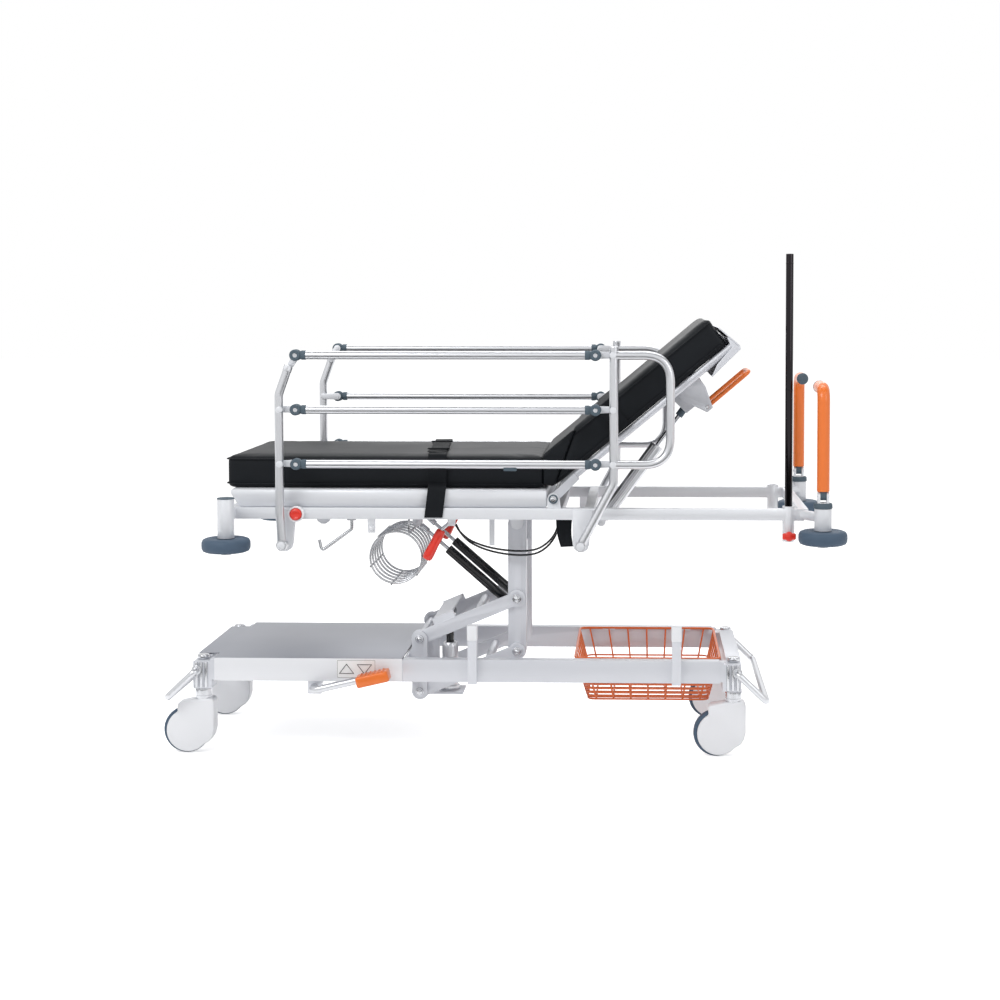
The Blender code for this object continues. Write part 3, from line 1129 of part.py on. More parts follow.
def make_side_rail(side_name, side):
    """One folding rail: foot post, head hoop and three level rails between them."""
    y = side * RAIL_Y
    foot_x, foot_z = FOOT_PIVOT[0] + POST_OFFSET, FOOT_PIVOT[1]
    tip = (FOOT_PIVOT[0] + 0.019, foot_z + KNUCKLE_ZS[0] - 0.033)
    path = rounded_path([(FOOT_PIVOT[0], y, foot_z), (foot_x, y, foot_z + 0.08),
                         (foot_x, y, tip[1] - 0.070), (tip[0] + 0.002, y, tip[1] + 0.006)], 0.045, 3)
    starts = [tip] + [(foot_x + 0.002, foot_z + z) for z in KNUCKLE_ZS[1:]]
    lugs = knuckle_lugs(side, FOOT_PIVOT, starts)
    shapes = [swept(path, POST_RADIUS, 2), post_boss(side, FOOT_PIVOT), *lugs]
    cutters = [cross_rod(*FOOT_PIVOT, y - 0.05, y + 0.05, bored(RAIL_PIN_RADIUS, 8), 8)]
    solid("foot_post_" + side_name, shapes, CHROME, cutters, origin=(FOOT_PIVOT[0], y, foot_z))
    make_head_hoop(side_name, side)
    for label, z in zip(("top", "middle", "low"), KNUCKLE_ZS):
        make_rail(label + "_rail_" + side_name, y, z)


def make_head_hoop(side_name, side):
    """The head post with the D-shaped hoop that guards the backrest."""
    y = side * RAIL_Y
    x = HEAD_PIVOT[0] + HOOP_POST_X
    high, low = HEAD_PIVOT[1] + KNUCKLE_ZS[0], HEAD_PIVOT[1] + KNUCKLE_ZS[2]
    end_x = HEAD_PIVOT[0] + HOOP_END_X
    post = swept(rounded_path([(HEAD_PIVOT[0], y, HEAD_PIVOT[1]), (x, y, HEAD_PIVOT[1] + 0.163),
                               (x, y, high + 0.020)], 0.040, 3), POST_RADIUS, 2)
    hoop = swept(rounded_path([(x, y, high), (end_x, y, high), (end_x, y, low), (x, y, low)],
                              HOOP_ARC, 5), POST_RADIUS, 2)
    lugs = knuckle_lugs(side, HEAD_PIVOT, [(x - 0.002, HEAD_PIVOT[1] + z) for z in KNUCKLE_ZS])
    cutters = [cross_rod(*HEAD_PIVOT, y - 0.05, y + 0.05, bored(RAIL_PIN_RADIUS, 8), 8)]
    solid("head_hoop_" + side_name, [post, hoop, post_boss(side, HEAD_PIVOT), *lugs], CHROME, cutters,
          origin=(HEAD_PIVOT[0], y, HEAD_PIVOT[1]))


def make_rail(name, y, z):
    """A level rail with a bored knuckle at each end."""
    start, end = knuckle(FOOT_PIVOT, z), knuckle(HEAD_PIVOT, z)
    half = KNUCKLE_WIDTH / 2
    shapes = [rod((start[0], y, start[1]), (end[0], y, end[1]), RAIL_RADIUS, 10)]
    cutters = []
    for x, height in (start, end):
        shapes.append(cross_rod(x, height, y - half, y + half, KNUCKLE_RADIUS, 12))
        cutters.append(cross_rod(x, height, y - 0.05, y + 0.05, bored(0.004, 6), 6))
    solid(name, shapes, CHROME, cutters, origin=(start[0], y, start[1]))


def make_latch_button(side_name, side):
    """The red push button in its round housing."""
    y0, y1 = mirrored_span(side, PLATFORM_HALF_WIDTH + 0.007, PLATFORM_HALF_WIDTH + 0.026)
    button = cross_rod(*LATCH, y0, y1, LATCH_RADIUS, 12)
    middle = side * (PLATFORM_HALF_WIDTH + 0.015)
    solid("latch_button_" + side_name, [button], RED, origin=(LATCH[0], middle, LATCH[1]))


def make_push_handle(side_name, side):
    """An orange handle on a pin in the clevis, with an inward grip."""
    y = side * BUMPER_Y
    half = PUSH_TONGUE / 2
    x = HEAD_BUMPER_X
    tongue = box(x - half, x + half, y - 0.011, y + 0.011, PUSH_PIVOT_Z, PUSH_PIVOT_Z + 0.034)
    nose = rod((x - half, y, PUSH_PIVOT_Z), (x + half, y, PUSH_PIVOT_Z), 0.011, 12)
    low = PUSH_PIVOT_Z + PUSH_CHEEK_RADIUS + RUNNING
    path = rounded_path([(x, y, low), (x, y, PUSH_TOP - PUSH_RADIUS),
                         (x, y - side * PUSH_GRIP, PUSH_TOP - PUSH_RADIUS)], 0.030, 4)
    hole = rod((x - 0.05, y, PUSH_PIVOT_Z), (x + 0.05, y, PUSH_PIVOT_Z), bored(0.004, 8), 8)
    solid("push_handle_" + side_name, [swept(path, PUSH_RADIUS, 3), tongue, nose], ORANGE, [hole],
          origin=(x, y, PUSH_PIVOT_Z))


def make_pole():
    """The infusion pole through its socket, and the wing knob that clamps it."""
    y = -PLATFORM_BEAM_Y
    pole = rod((POLE_X, y, POLE_BOTTOM), (POLE_X, y, POLE_TOP), POLE_RADIUS, 12)
    solid("infusion_pole", [pole], CHROME, origin=(POLE_X, y, POLE_BOTTOM))
    face = y - POLE_SOCKET_RADIUS
    hub = rod((POLE_X, face - KNOB_REACH, KNOB_Z), (POLE_X, face - GAP, KNOB_Z), KNOB_RADIUS, 14)
    wing_x, wing_z = KNOB_WING
    wing = box(POLE_X - wing_x, POLE_X + wing_x, face - KNOB_REACH, face - 0.006, KNOB_Z - wing_z,
               KNOB_Z + wing_z, 0.003)
    screw = rod((POLE_X, face - 0.002, KNOB_Z), (POLE_X, y - POLE_RADIUS - 0.001, KNOB_Z), 0.003, 10)
    solid("pole_knob", [hub, wing, screw], RED, origin=(POLE_X, face, KNOB_Z))


def make_oxygen_holder():
    """Five wire rings and three long wires that hold a cylinder across the platform."""
    x, z = OXYGEN_CENTRE
    shapes = []
    count = 5
    inner, outer = OXYGEN_NEAR_Y + OXYGEN_WIRE, OXYGEN_FAR_Y - OXYGEN_WIRE
    for i in range(count):
        y = inner + (outer - inner) * i / (count - 1)
        ring = turned(arc((OXYGEN_RADIUS, 0), OXYGEN_WIRE, 45, 315, 3), 12)
        shapes.append(moved(ring, Matrix.Translation((x, y, z)) @ Matrix.Rotation(math.pi / 2, 4, "X")))
    for angle in (62, 200, 320):
        px, pz = arc((x, z), OXYGEN_RADIUS + OXYGEN_WIRE / 2, angle, angle, 1)[0]
        shapes.append(rod((px, OXYGEN_NEAR_Y, pz), (px, OXYGEN_FAR_Y, pz), OXYGEN_WIRE * 1.2, 5))
    top = PLATFORM_BOTTOM + 0.001 - GAP
    foot_x = SPRING_HEAD[0]
    rise_x, rise_z = arc((x, z), OXYGEN_RADIUS, 62, 62, 1)[0]
    for y in (OXYGEN_NEAR_Y + 0.020, OXYGEN_FAR_Y - 0.020):
        shapes.append(box(rise_x - 0.008, foot_x + 0.008, y - 0.008, y + 0.008, top - 0.003, top))
        shapes.append(box(rise_x - 0.002, rise_x + 0.002, y - 0.008, y + 0.008, rise_z, top - 0.001))
    solid("oxygen_holder", shapes, CHROME)


def make_tilt_lever(side_name, side):
    """A red grip on a bent rod that releases one tilt gas spring."""
    y = side * LEVER_Y
    pivot = Vector((LEVER_PIVOT[0], y, LEVER_PIVOT[1]))
    knee = pivot + Vector((-0.027, 0, -0.022))
    tip = knee + Vector((-0.461, 0, -0.887)).normalized() * GRIP_LENGTH
    stem = swept(rounded_path([pivot, knee, tip], 0.012, 3), 0.005, 2)
    eye = cross_rod(pivot.x, pivot.z, y - 0.008, y + 0.008, 0.0085, 10)
    grip = rod(knee + (tip - knee) * 0.06, tip, GRIP_RADIUS, 12)
    hole = cross_rod(pivot.x, pivot.z, y - 0.03, y + 0.03, bored(0.003, 8), 8)
    solid("tilt_lever_" + side_name, [stem, eye, grip], RED, [hole], origin=pivot)


def make_bag_hook():
    """The bent rod below the near beam."""
    y = -PLATFORM_BEAM_Y
    top = PLATFORM_BOTTOM - GAP
    path = rounded_path([(-0.397, y, top - 0.002), (-0.397, y, 0.615), (-0.478, y, 0.556),
                         (-0.484, y, 0.586)], 0.006, 3)
    flange = box(-0.409, -0.385, y - 0.009, y + 0.009, top - 0.004, top, 0.001)
    solid("bag_hook", [swept(path, 0.0035, 1), flange], CHROME)


def smooth_route(points, spacing):
    """Points at an even spacing on a smooth curve through the given ones."""
    places = [Vector(p) for p in points]
    ends = [places[0] * 2 - places[1], *places, places[-1] * 2 - places[-2]]
    route = []
    for before, start, end, after in zip(ends, ends[1:], ends[2:], ends[3:]):
        count = max(2, round((end - start).length / spacing))
        for i in range(count):
            t = i / count
            route.append(0.5 * (2 * start + (end - before) * t
                                + (2 * before - 5 * start + 4 * end - after) * t * t
                                + (3 * start - before - 3 * end + after) * t ** 3))
    return [*route, places[-1]]


def make_control_cable():
    """The release cable along the platform, held by a hanger strip."""
    points = [(x, CABLE_Y, z - 0.0005) for x, z in CABLE_ROUTE]
    route = smooth_route(points, CABLE_RADIUS * 6)
    solid("control_cable", [swept(route, CABLE_RADIUS, 2)], BLACK_PAINT)


def centre_over_origin():
    """Put the middle of the overall length over the origin."""
    for item in bpy.data.objects:
        item.location.x += CENTRE_SHIFT
    bpy.context.view_layer.update()


def build():
    """Make every sub-part."""
    clear_scene()
    make_base_frame()
    make_base_cover()
    make_basket()
    make_jack()
    make_castors()
    make_brake_bars()
    make_pedal()
    make_lift_arms()
    make_columns()
    make_tilt_springs()
    make_under_frame()
    make_deck()
    make_bumper_wheels()
    make_mattress()
    make_straps()
    make_backrest_frame()
    make_release_handle()
    make_back_prop()
    for side_name, side in SIDES:
        make_side_rail(side_name, side)
        make_latch_button(side_name, side)
        make_push_handle(side_name, side)
        make_tilt_lever(side_name, side)
    make_pole()
    make_oxygen_holder()
    make_bag_hook()
    make_control_cable()
    centre_over_origin()


build()
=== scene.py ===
import logging
import math
from dataclasses import dataclass
from enum import Enum
from typing import Any, Iterable, Sequence

import bpy
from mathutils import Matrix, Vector, noise


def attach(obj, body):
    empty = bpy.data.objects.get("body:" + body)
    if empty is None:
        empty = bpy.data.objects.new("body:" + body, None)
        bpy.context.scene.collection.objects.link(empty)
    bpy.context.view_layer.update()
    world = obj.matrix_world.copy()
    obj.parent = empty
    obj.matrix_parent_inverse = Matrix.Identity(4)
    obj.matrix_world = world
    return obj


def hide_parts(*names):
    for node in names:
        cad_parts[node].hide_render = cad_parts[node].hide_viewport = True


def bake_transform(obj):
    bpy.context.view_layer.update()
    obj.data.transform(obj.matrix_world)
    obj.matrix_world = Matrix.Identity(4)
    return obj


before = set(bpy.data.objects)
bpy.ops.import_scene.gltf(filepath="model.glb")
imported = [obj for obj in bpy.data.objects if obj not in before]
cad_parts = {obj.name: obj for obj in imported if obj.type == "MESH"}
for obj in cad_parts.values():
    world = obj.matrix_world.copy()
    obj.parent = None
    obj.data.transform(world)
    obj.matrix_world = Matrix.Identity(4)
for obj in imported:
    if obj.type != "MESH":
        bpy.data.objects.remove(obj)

log = logging.getLogger("stretcher")
logging.basicConfig(level=logging.INFO, format="%(message)s")

Point = Sequence[float]
Outline = list[tuple[float, float]]
SIDES = (("near", -1), ("far", 1))
# How far the frame's X is from the drawing's X, the X and Z of the backrest's hinge, and how far it leans.
MIDDLE = 0.006
HINGE = (0.1394, 0.697)
LEAN = math.radians(39.6)
# Sheet and washer faces stand this far off what they lie on, so that no two faces share a plane.
SKIN = 0.0002
# Points closer than this are merged.
MERGE = 0.00001
# Wire and cloth are shaded smooth up to this angle, in degrees.
SOFT = 60.0
UP, ACROSS = (0, 0, 1), (0, 1, 0)


def at(x: float, y: float, z: float) -> Vector:
    """A place in the frame from the drawing's own X, which starts MIDDLE to the left."""
    return Vector((x + MIDDLE, y, z))


class Signal:
    """A number that runs through a material's nodes and is used like one in Python."""

    def __init__(self, graph: "Graph", socket: Any) -> None:
        """Wraps a socket, or a plain number."""
        self.graph = graph
        self.socket = socket

    def _with(self, operation: str, first: Any, second: Any) -> "Signal":
        """Adds one Math node.

        Args:
            operation: The Math node's operation.
            first: Its first value or signal.
            second: Its second value or signal.

        Returns:
            The signal that comes out.
        """
        values = [v.socket if isinstance(v, Signal) else v for v in (first, second)]
        node = self.graph.add("ShaderNodeMath", {"operation": operation}, {0: values[0], 1: values[1]})
        return Signal(self.graph, node.outputs[0])

    def __add__(self, other: Any) -> "Signal":
        """Sum."""
        return self._with("ADD", self, other)

    def __mul__(self, other: Any) -> "Signal":
        """Product."""
        return self._with("MULTIPLY", self, other)

    def most(self, other: Any) -> "Signal":
        """The larger of two numbers."""
        return self._with("MAXIMUM", self, other)


class Graph:
    """The nodes of a material or of the world."""

    def __init__(self, owner: Any, shader: str = "Principled BSDF") -> None:
        """Turns the owner's nodes on and finds its shader.

        Args:
            owner: The material or the world.
            shader: The name of its shader node.
        """
        owner.use_nodes = True
        self.tree = owner.node_tree
        self.shader = self.tree.nodes[shader]
        self.place = self.add("ShaderNodeTexCoord", {}, {}).outputs

    def add(self, kind: str, settings: dict[str, Any], sockets: dict[Any, Any]) -> Any:
        """Adds any node.

        Args:
            kind: The node's type.
            settings: Its properties.
            sockets: Its inputs by name or number, each a value, a socket or a signal.

        Returns:
            The node.
        """
        node = self.tree.nodes.new(kind)
        for key, value in settings.items():
            setattr(node, key, value)
        for key, value in sockets.items():
            if isinstance(value, Signal):
                value = value.socket
            if isinstance(value, bpy.types.NodeSocket):
                self.tree.links.new(value, node.inputs[key])
            else:
                node.inputs[key].default_value = value
        return node

    def noise(self, scale: float, detail: float, stretch: Point = (1, 1, 1)) -> Signal:
        """Smooth noise in the object's own place, finer along an axis with a larger stretch."""
        place = self.add("ShaderNodeMapping", {}, {"Vector": self.place["Object"], "Scale": stretch}).outputs[0]
        node = self.add("ShaderNodeTexNoise", {}, {"Vector": place, "Scale": scale, "Detail": detail})
        return Signal(self, node.outputs[0])

    def tint(self, factor: Signal, first: Point, second: Point) -> Any:
        """A colour between two, by a factor."""
        node = self.add("ShaderNodeMix", {"data_type": "RGBA"},
                        {0: factor, 6: (*first, 1.0), 7: (*second, 1.0)})
        return node.outputs[2]

    def feed(self, name: str, value: Any) -> None:
        """Sets or links one socket of the shader."""
        socket = self.shader.inputs[name]
        if isinstance(value, Signal):
            value = value.socket
        if isinstance(value, bpy.types.NodeSocket):
            self.tree.links.new(value, socket)
        else:
            socket.default_value = value

    def bump(self, height: Signal, depth: float) -> None:
        """Raises the surface by a height signal times a depth in metres."""
        node = self.add("ShaderNodeBump", {}, {"Height": height, "Distance": depth, "Strength": 1.0})
        self.feed("Normal", node.outputs[0])

    def seen(self) -> Signal:
        """1 for a ray that shows the background: straight, mirrored or through glass."""
        rays = self.add("ShaderNodeLightPath", {}, {}).outputs
        mask = Signal(self, rays["Is Camera Ray"])
        for kind in ("Is Glossy Ray", "Is Transmission Ray"):
            mask = mask.most(Signal(self, rays[kind]))
        return mask


@dataclass(frozen=True)
class Finish:
    """A surface: its colour, its gloss, and how both change over it.

    shade is the darkest part of the colour, patch the scale of its clouds, grain and depth those of its relief.
    """

    name: str
    slot: str
    colour: tuple[float, float, float]
    rough: float = 0.45
    metal: float = 0.0
    shade: float = 0.9
    patch: float = 7.0
    grain: float = 900.0
    depth: float = 0.00004
    coat: float = 0.0
    gloss: float = 0.5
    wear: float = 0.14

    def marks(self, graph: Graph) -> Signal:
        """The fine relief of the surface, from 0 to 1."""
        return graph.noise(self.grain, 3.0)

    def made(self) -> bpy.types.Material:
        """The material, made once.

        Returns:
            The material.
        """
        known = bpy.data.materials.get(self.name)
        if known:
            return known
        material = bpy.data.materials.new(self.name)
        graph = Graph(material)
        cloud = graph.noise(self.patch, 4.0)
        dark = tuple(c * self.shade for c in self.colour)
        graph.feed("Base Color", graph.tint(cloud, self.colour, dark))
        graph.feed("Roughness", cloud * self.wear + (self.rough - self.wear / 2))
        graph.feed("Metallic", self.metal)
        graph.feed("Coat Weight", self.coat)
        graph.feed("Specular IOR Level", self.gloss)
        if self.depth:
            graph.bump(self.marks(graph), self.depth)
        return material


@dataclass(frozen=True)
class Vinyl(Finish):
    """Coated cloth: a leathery grain with soft creases."""

    def marks(self, graph: Graph) -> Signal:
        """Grain plus wide soft creases."""
        grain = graph.noise(420.0, 2.0)
        crease = graph.noise(14.0, 3.0, (1.0, 2.2, 1.0))
        return grain * 0.02 + crease


@dataclass(frozen=True)
class Webbing(Finish):
    """Woven strap: crossed ribs."""

    def marks(self, graph: Graph) -> Signal:
        """Two crossed sets of ribs."""
        waves = []
        for axis in ("X", "Y"):
            node = graph.add("ShaderNodeTexWave", {"wave_type": "BANDS", "bands_direction": axis},
                             {"Vector": graph.place["Object"], "Scale": 120.0, "Distortion": 0.2})
            waves.append(Signal(graph, node.outputs[1]))
        return waves[0] * 0.5 + waves[1] * 0.5


class Look(Enum):
    """The finishes of the stretcher."""

    PAINT = Finish("silver_grey_paint", "painted_steel", (0.66, 0.675, 0.72), 0.40, 0.25, 0.95, 9.0, 260.0, 0.000012)
    # The same grey paint made lighter, which paints the light that falls on the platform frame and deck; the rail
    # lugs use it too.
    PALE = Finish("grey_paint_brightened", "painted_steel", (0.75, 0.765, 0.80), 0.40, 0.20, 0.96, 9.0, 260.0, 0.000012)
    # The pale cover paint darkened, which paints the shade that falls on the cover's top under the platform; the
    # skirt below has the paint's own pale colour.
    COVER = Finish("cover_paint_darkened_for_shade", "cover_paint", (0.345, 0.357, 0.400), 0.42, 0.25, 0.90, 3.0, 260.0, 0.00002)
    SKIRT = Finish("pale_skirt_paint", "cover_paint", (0.80, 0.81, 0.84), 0.42, 0.12, 0.95, 5.0, 260.0, 0.00002)
    TUBE = Finish("satin_tube", "bright_steel", (0.63, 0.64, 0.665), 0.33, 0.85, 0.95, 6.0, depth=0.0)
    CHROME = Finish("bright_chrome", "bright_steel", (0.55, 0.56, 0.585), 0.20, 1.0, 0.95, 10.0, depth=0.0)
    WIRE_STEEL = Finish("wire_steel", "bright_steel", (0.50, 0.51, 0.53), 0.26, 1.0, 0.95, 10.0, depth=0.0)
    POLE = Finish("dark_chrome", "bright_steel", (0.030, 0.027, 0.030), 0.14, 1.0, 0.90, 10.0, depth=0.0)
    BLACK = Finish("gloss_black", "black_spring_paint", (0.006, 0.007, 0.009), 0.18, 0.0, 0.8, 20.0,
                   depth=0.0, coat=0.3, gloss=0.3)
    BLUE_GREY = Finish("blue_grey_plastic", "blue_grey_plastic", (0.055, 0.082, 0.105), 0.42, 0.0, 0.85, 30.0,
                       300.0, 0.00002, gloss=0.4)
    WHITE = Finish("white_moulding", "white_plastic", (0.84, 0.85, 0.88), 0.38, 0.0, 0.96, 14.0, 200.0, 0.00002)
    RUBBER = Finish("slate_rubber", "dark_tyre", (0.070, 0.110, 0.165), 0.60, 0.0, 0.85, 24.0, 300.0, 0.00004,
                    gloss=0.35)
    ORANGE = Finish("orange_moulding", "orange_plastic", (0.86, 0.185, 0.020), 0.36, 0.0, 0.90, 18.0, coat=0.25)
    WIRE = Finish("orange_wire_coat", "orange_plastic", (0.80, 0.150, 0.022), 0.40, 0.0, 0.88, 18.0, coat=0.2)
    RED = Finish("red_moulding", "red_plastic", (0.78, 0.030, 0.014), 0.36, 0.0, 0.88, 25.0, coat=0.25)
    PAD = Vinyl("black_coated_cloth", "mattress_cover", (0.0085, 0.0105, 0.0135), 0.50, 0.0, 0.75, 5.0, 1.0, 0.0007,
                gloss=0.16)
    STRAP = Webbing("black_webbing", "strap_webbing", (0.0075, 0.0090, 0.0115), 0.72, 0.0, 0.8, 30.0, 1.0, 0.0003,
                    gloss=0.16)
    INK = Finish("black_ink", "black_spring_paint", (0.01, 0.01, 0.01), 0.5)
    PAPER = Finish("label_film", "white_plastic", (0.86, 0.86, 0.86), 0.3, 0.0, 0.98, 10.0)


def nothing() -> None:
    """Deselects everything."""
    for other in bpy.context.selected_objects:
        other.select_set(False)


def alone(item: bpy.types.Object) -> None:
    """Selects one object and makes it active."""
    nothing()
    item.select_set(True)
    bpy.context.view_layer.objects.active = item


def settle(item: bpy.types.Object) -> bpy.types.Object:
    """Puts an object's place, turn and size into its mesh."""
    alone(item)
    bpy.ops.object.transform_apply(location=True, rotation=True, scale=True)
    return item


def modify(item: bpy.types.Object, kind: str, **settings: Any) -> bpy.types.Object:
    """Adds a modifier, sets it and applies it.

    Args:
        item: The object.
        kind: The modifier's type.
        **settings: Its properties.

    Returns:
        The same object.
    """
    alone(item)
    added = item.modifiers.new("step", kind)
    for key, value in settings.items():
        setattr(added, key, value)
    bpy.ops.object.modifier_apply(modifier=added.name)
    return item


def rounded(item: bpy.types.Object, width: float, steps: int = 2, angle: float = 55.0) -> bpy.types.Object:
    """Rounds the sharp edges of an object."""
    return modify(item, "BEVEL", width=width, segments=steps, limit_method="ANGLE",
                  angle_limit=math.radians(angle), harden_normals=False)


def outward(item: bpy.types.Object) -> bpy.types.Object:
    """Merges doubles and points every face out."""
    alone(item)
    bpy.ops.object.mode_set(mode="EDIT")
    bpy.ops.mesh.select_all(action="SELECT")
    bpy.ops.mesh.remove_doubles(threshold=MERGE)
    bpy.ops.mesh.normals_make_consistent(inside=False)
    bpy.ops.object.mode_set(mode="OBJECT")
    return item


def joined(name: str, items: Iterable[bpy.types.Object]) -> bpy.types.Object:
    """Joins loose shapes into one piece.

    Args:
        name: The piece's name.
        items: The shapes.

    Returns:
        The piece.
    """
    shapes = list(items)
    alone(shapes[0])
    for shape in shapes:
        shape.select_set(True)
    if len(shapes) > 1:
        bpy.ops.object.join()
    made = bpy.context.view_layer.objects.active
    made.name = name
    made.data.name = name
    return made


def piece(name: str, items: Iterable[bpy.types.Object], look: Look, body: str,
          stands_for: Sequence[str] = (), angle: float = 42.0) -> bpy.types.Object:
    """Finishes a piece: joins it, shades it, gives it its material and body.

    Args:
        name: The piece's name.
        items: Its loose shapes.
        look: Its finish.
        body: The body that it rides on; an empty name leaves it attached to no body.
        stands_for: The CAD nodes that it replaces.
        angle: The angle in degrees under which edges are shaded smooth.

    Returns:
        The piece.
    """
    made = joined(name, items)
    made.data.materials.clear()
    made.data.materials.append(look.value.made())
    alone(made)
    bpy.ops.object.shade_smooth_by_angle(angle=math.radians(angle))
    if body:
        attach(made, body)
    if stands_for:
        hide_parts(*stands_for)
    log.info("%s: %d faces", name, len(made.data.polygons))
    return made


def dressed(node: str, look: Look, body: str, width: float,
            extra: Sequence[bpy.types.Object] = ()) -> bpy.types.Object:
    """A CAD node's own shape with merged corners, rounded edges and a finish.

    Args:
        node: The CAD node.
        look: Its finish.
        body: The body that it rides on.
        width: How far its sharp edges are rounded.
        extra: More shapes to join to it.

    Returns:
        The piece.
    """
    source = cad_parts[node]
    copy = bpy.data.objects.new(node + "_copy", source.data.copy())
    bpy.context.scene.collection.objects.link(copy)
    outward(copy)
    bpy.ops.object.mode_set(mode="EDIT")
    bpy.ops.mesh.select_all(action="SELECT")
    bpy.ops.mesh.dissolve_limited(angle_limit=math.radians(1.0))
    bpy.ops.object.mode_set(mode="OBJECT")
    return piece(node + "_made", [rounded(copy, width), *extra], look, body, (node,), 50.0)


def bar(start: Point, end: Point, radius: float, sides: int = 32, edge: float = 0.0) -> bpy.types.Object:
    """A round bar between two points, with rounded rims.

    Args:
        start: The middle of one end.
        end: The middle of the other.
        radius: Its radius.
        sides: Faces round it.
        edge: The rounding of its rims.

    Returns:
        The bar.
    """
    nothing()
    first, last = Vector(start), Vector(end)
    run = last - first
    bpy.ops.mesh.primitive_cylinder_add(vertices=sides, radius=radius, depth=run.length,
                                        location=(first + last) / 2,
                                        rotation=run.to_track_quat("Z", "Y").to_euler())
    item = settle(bpy.context.object)
    return rounded(item, edge, 3, 50.0) if edge else item


def block(low: Point, high: Point, edge: float = 0.001, steps: int = 2) -> bpy.types.Object:
    """A box between two corners, with rounded edges."""
    nothing()
    middle = [(a + b) / 2 for a, b in zip(low, high)]
    bpy.ops.mesh.primitive_cube_add(size=1.0, location=middle)
    item = bpy.context.object
    item.scale = [b - a for a, b in zip(low, high)]
    return rounded(settle(item), edge, steps, 30.0)


def corners(points: Sequence[Point], radius: float, steps: int = 8) -> list[Vector]:
    """A route whose inner corners are replaced by arcs.

    Args:
        points: The corners of the route.
        radius: The radius of the arcs, where there is room.
        steps: Parts of each arc.

    Returns:
        The points of the route.
    """
    route = [Vector(points[0])]
    for before, corner, after in zip(points, points[1:], points[2:]):
        a, b = Vector(before) - Vector(corner), Vector(after) - Vector(corner)
        opening = a.angle(b)
        back = min(radius / math.tan(opening / 2), a.length * 0.49, b.length * 0.49)
        start, end = Vector(corner) + a.normalized() * back, Vector(corner) + b.normalized() * back
        for i in range(steps + 1):
            t = i / steps
            route.append((1 - t) ** 2 * start + 2 * t * (1 - t) * Vector(corner) + t * t * end)
    route.append(Vector(points[-1]))
    return route


def ring_route(ring: Sequence[Vector], radius: float, steps: int) -> list[Vector]:
    """The closed route of a ring with rounded corners, from the middle of its last side."""
    start = (ring[0] + ring[-1]) / 2
    return corners([start, *ring, start], radius, steps)[:-1]


def tube(points: Sequence[Point], radius: float, resolution: int = 6, closed: bool = False) -> bpy.types.Object:
    """A round tube along a route.

    Args:
        points: The route.
        radius: The tube's radius.
        resolution: The fineness round it.
        closed: Whether the route is a ring.

    Returns:
        The tube as a mesh.
    """
    nothing()
    bpy.ops.curve.primitive_nurbs_path_add()
    item = bpy.context.object
    item.data.splines.clear()
    spline = item.data.splines.new("POLY")
    spline.points.add(len(points) - 1)
    for knot, place in zip(spline.points, points):
        knot.co = (*place, 1.0)
    spline.use_cyclic_u = closed
    item.location = (0.0, 0.0, 0.0)
    item.data.dimensions = "3D"
    item.data.bevel_depth = radius
    item.data.bevel_resolution = resolution
    item.data.use_fill_caps = not closed
    bpy.ops.object.convert(target="MESH")
    return outward(bpy.context.object)


def smooth(points: Sequence[Point], parts: int = 6) -> list[Vector]:
    """A smooth route through the given points."""
    places = [Vector(p) for p in points]
    ends = [places[0] * 2 - places[1], *places, places[-1] * 2 - places[-2]]
    route = []
    for a, b, c, d in zip(ends, ends[1:], ends[2:], ends[3:]):
        for i in range(parts):
            t = i / parts
            route.append(0.5 * (2 * b + (c - a) * t + (2 * a - 5 * b + 4 * c - d) * t * t
                                + (3 * b - a - 3 * c + d) * t ** 3))
    return [*route, places[-1]]


def turned(profile: Sequence[tuple[float, float]], centre: Point, axis: Point, steps: int = 48,
           ring: bool = False) -> bpy.types.Object:
    """A shape turned on a lathe.

    Args:
        profile: (radius, height) pairs along the wall; a solid starts and ends on the axis.
        centre: Where radius 0 and height 0 lie.
        axis: The direction of its axis.
        steps: Faces round it.
        ring: Whether the profile closes on itself.

    Returns:
        The turned shape.
    """
    nothing()
    bpy.ops.mesh.primitive_plane_add()
    item = bpy.context.object
    count = len(profile)
    edges = [(i, i + 1) for i in range(count - 1)] + ([(count - 1, 0)] if ring else [])
    item.data.clear_geometry()
    item.data.from_pydata([(r, 0.0, h) for r, h in profile], edges, [])
    modify(item, "SCREW", angle=math.tau, steps=steps, render_steps=steps, use_merge_vertices=True,
           merge_threshold=MERGE)
    item.rotation_euler = Vector(axis).to_track_quat("Z", "Y").to_euler()
    item.location = centre
    return outward(settle(item))


def plate(outline: Sequence[tuple[float, float]], y0: float, y1: float, edge: float = 0.0008,
          steps: int = 2) -> bpy.types.Object:
    """A flat plate across Y from an (x, z) outline, with rounded edges.

    Args:
        outline: Its corners in order.
        y0: One face.
        y1: The other face.
        edge: The rounding of its edges.
        steps: The steps of that rounding.

    Returns:
        The plate.
    """
    nothing()
    bpy.ops.mesh.primitive_plane_add()
    item = bpy.context.object
    item.data.clear_geometry()
    low = min(y0, y1)
    item.data.from_pydata([(x, low, z) for x, z in outline], [], [list(range(len(outline)))])
    modify(item, "SOLIDIFY", thickness=abs(y1 - y0), offset=0.0)
    middle = low + abs(y1 - y0) / 2
    shift = middle - (min(v.co.y for v in item.data.vertices) + max(v.co.y for v in item.data.vertices)) / 2
    for vertex in item.data.vertices:
        vertex.co.y += shift
    outward(item)
    return rounded(item, edge, steps, 45.0)


def arc(centre: tuple[float, float], radius: float, start: float, end: float, steps: int) -> Outline:
    """(x, z) points along an arc, in degrees."""
    turns = [math.radians(start + (end - start) * i / steps) for i in range(steps + 1)]
    return [(centre[0] + radius * math.cos(a), centre[1] + radius * math.sin(a)) for a in turns]


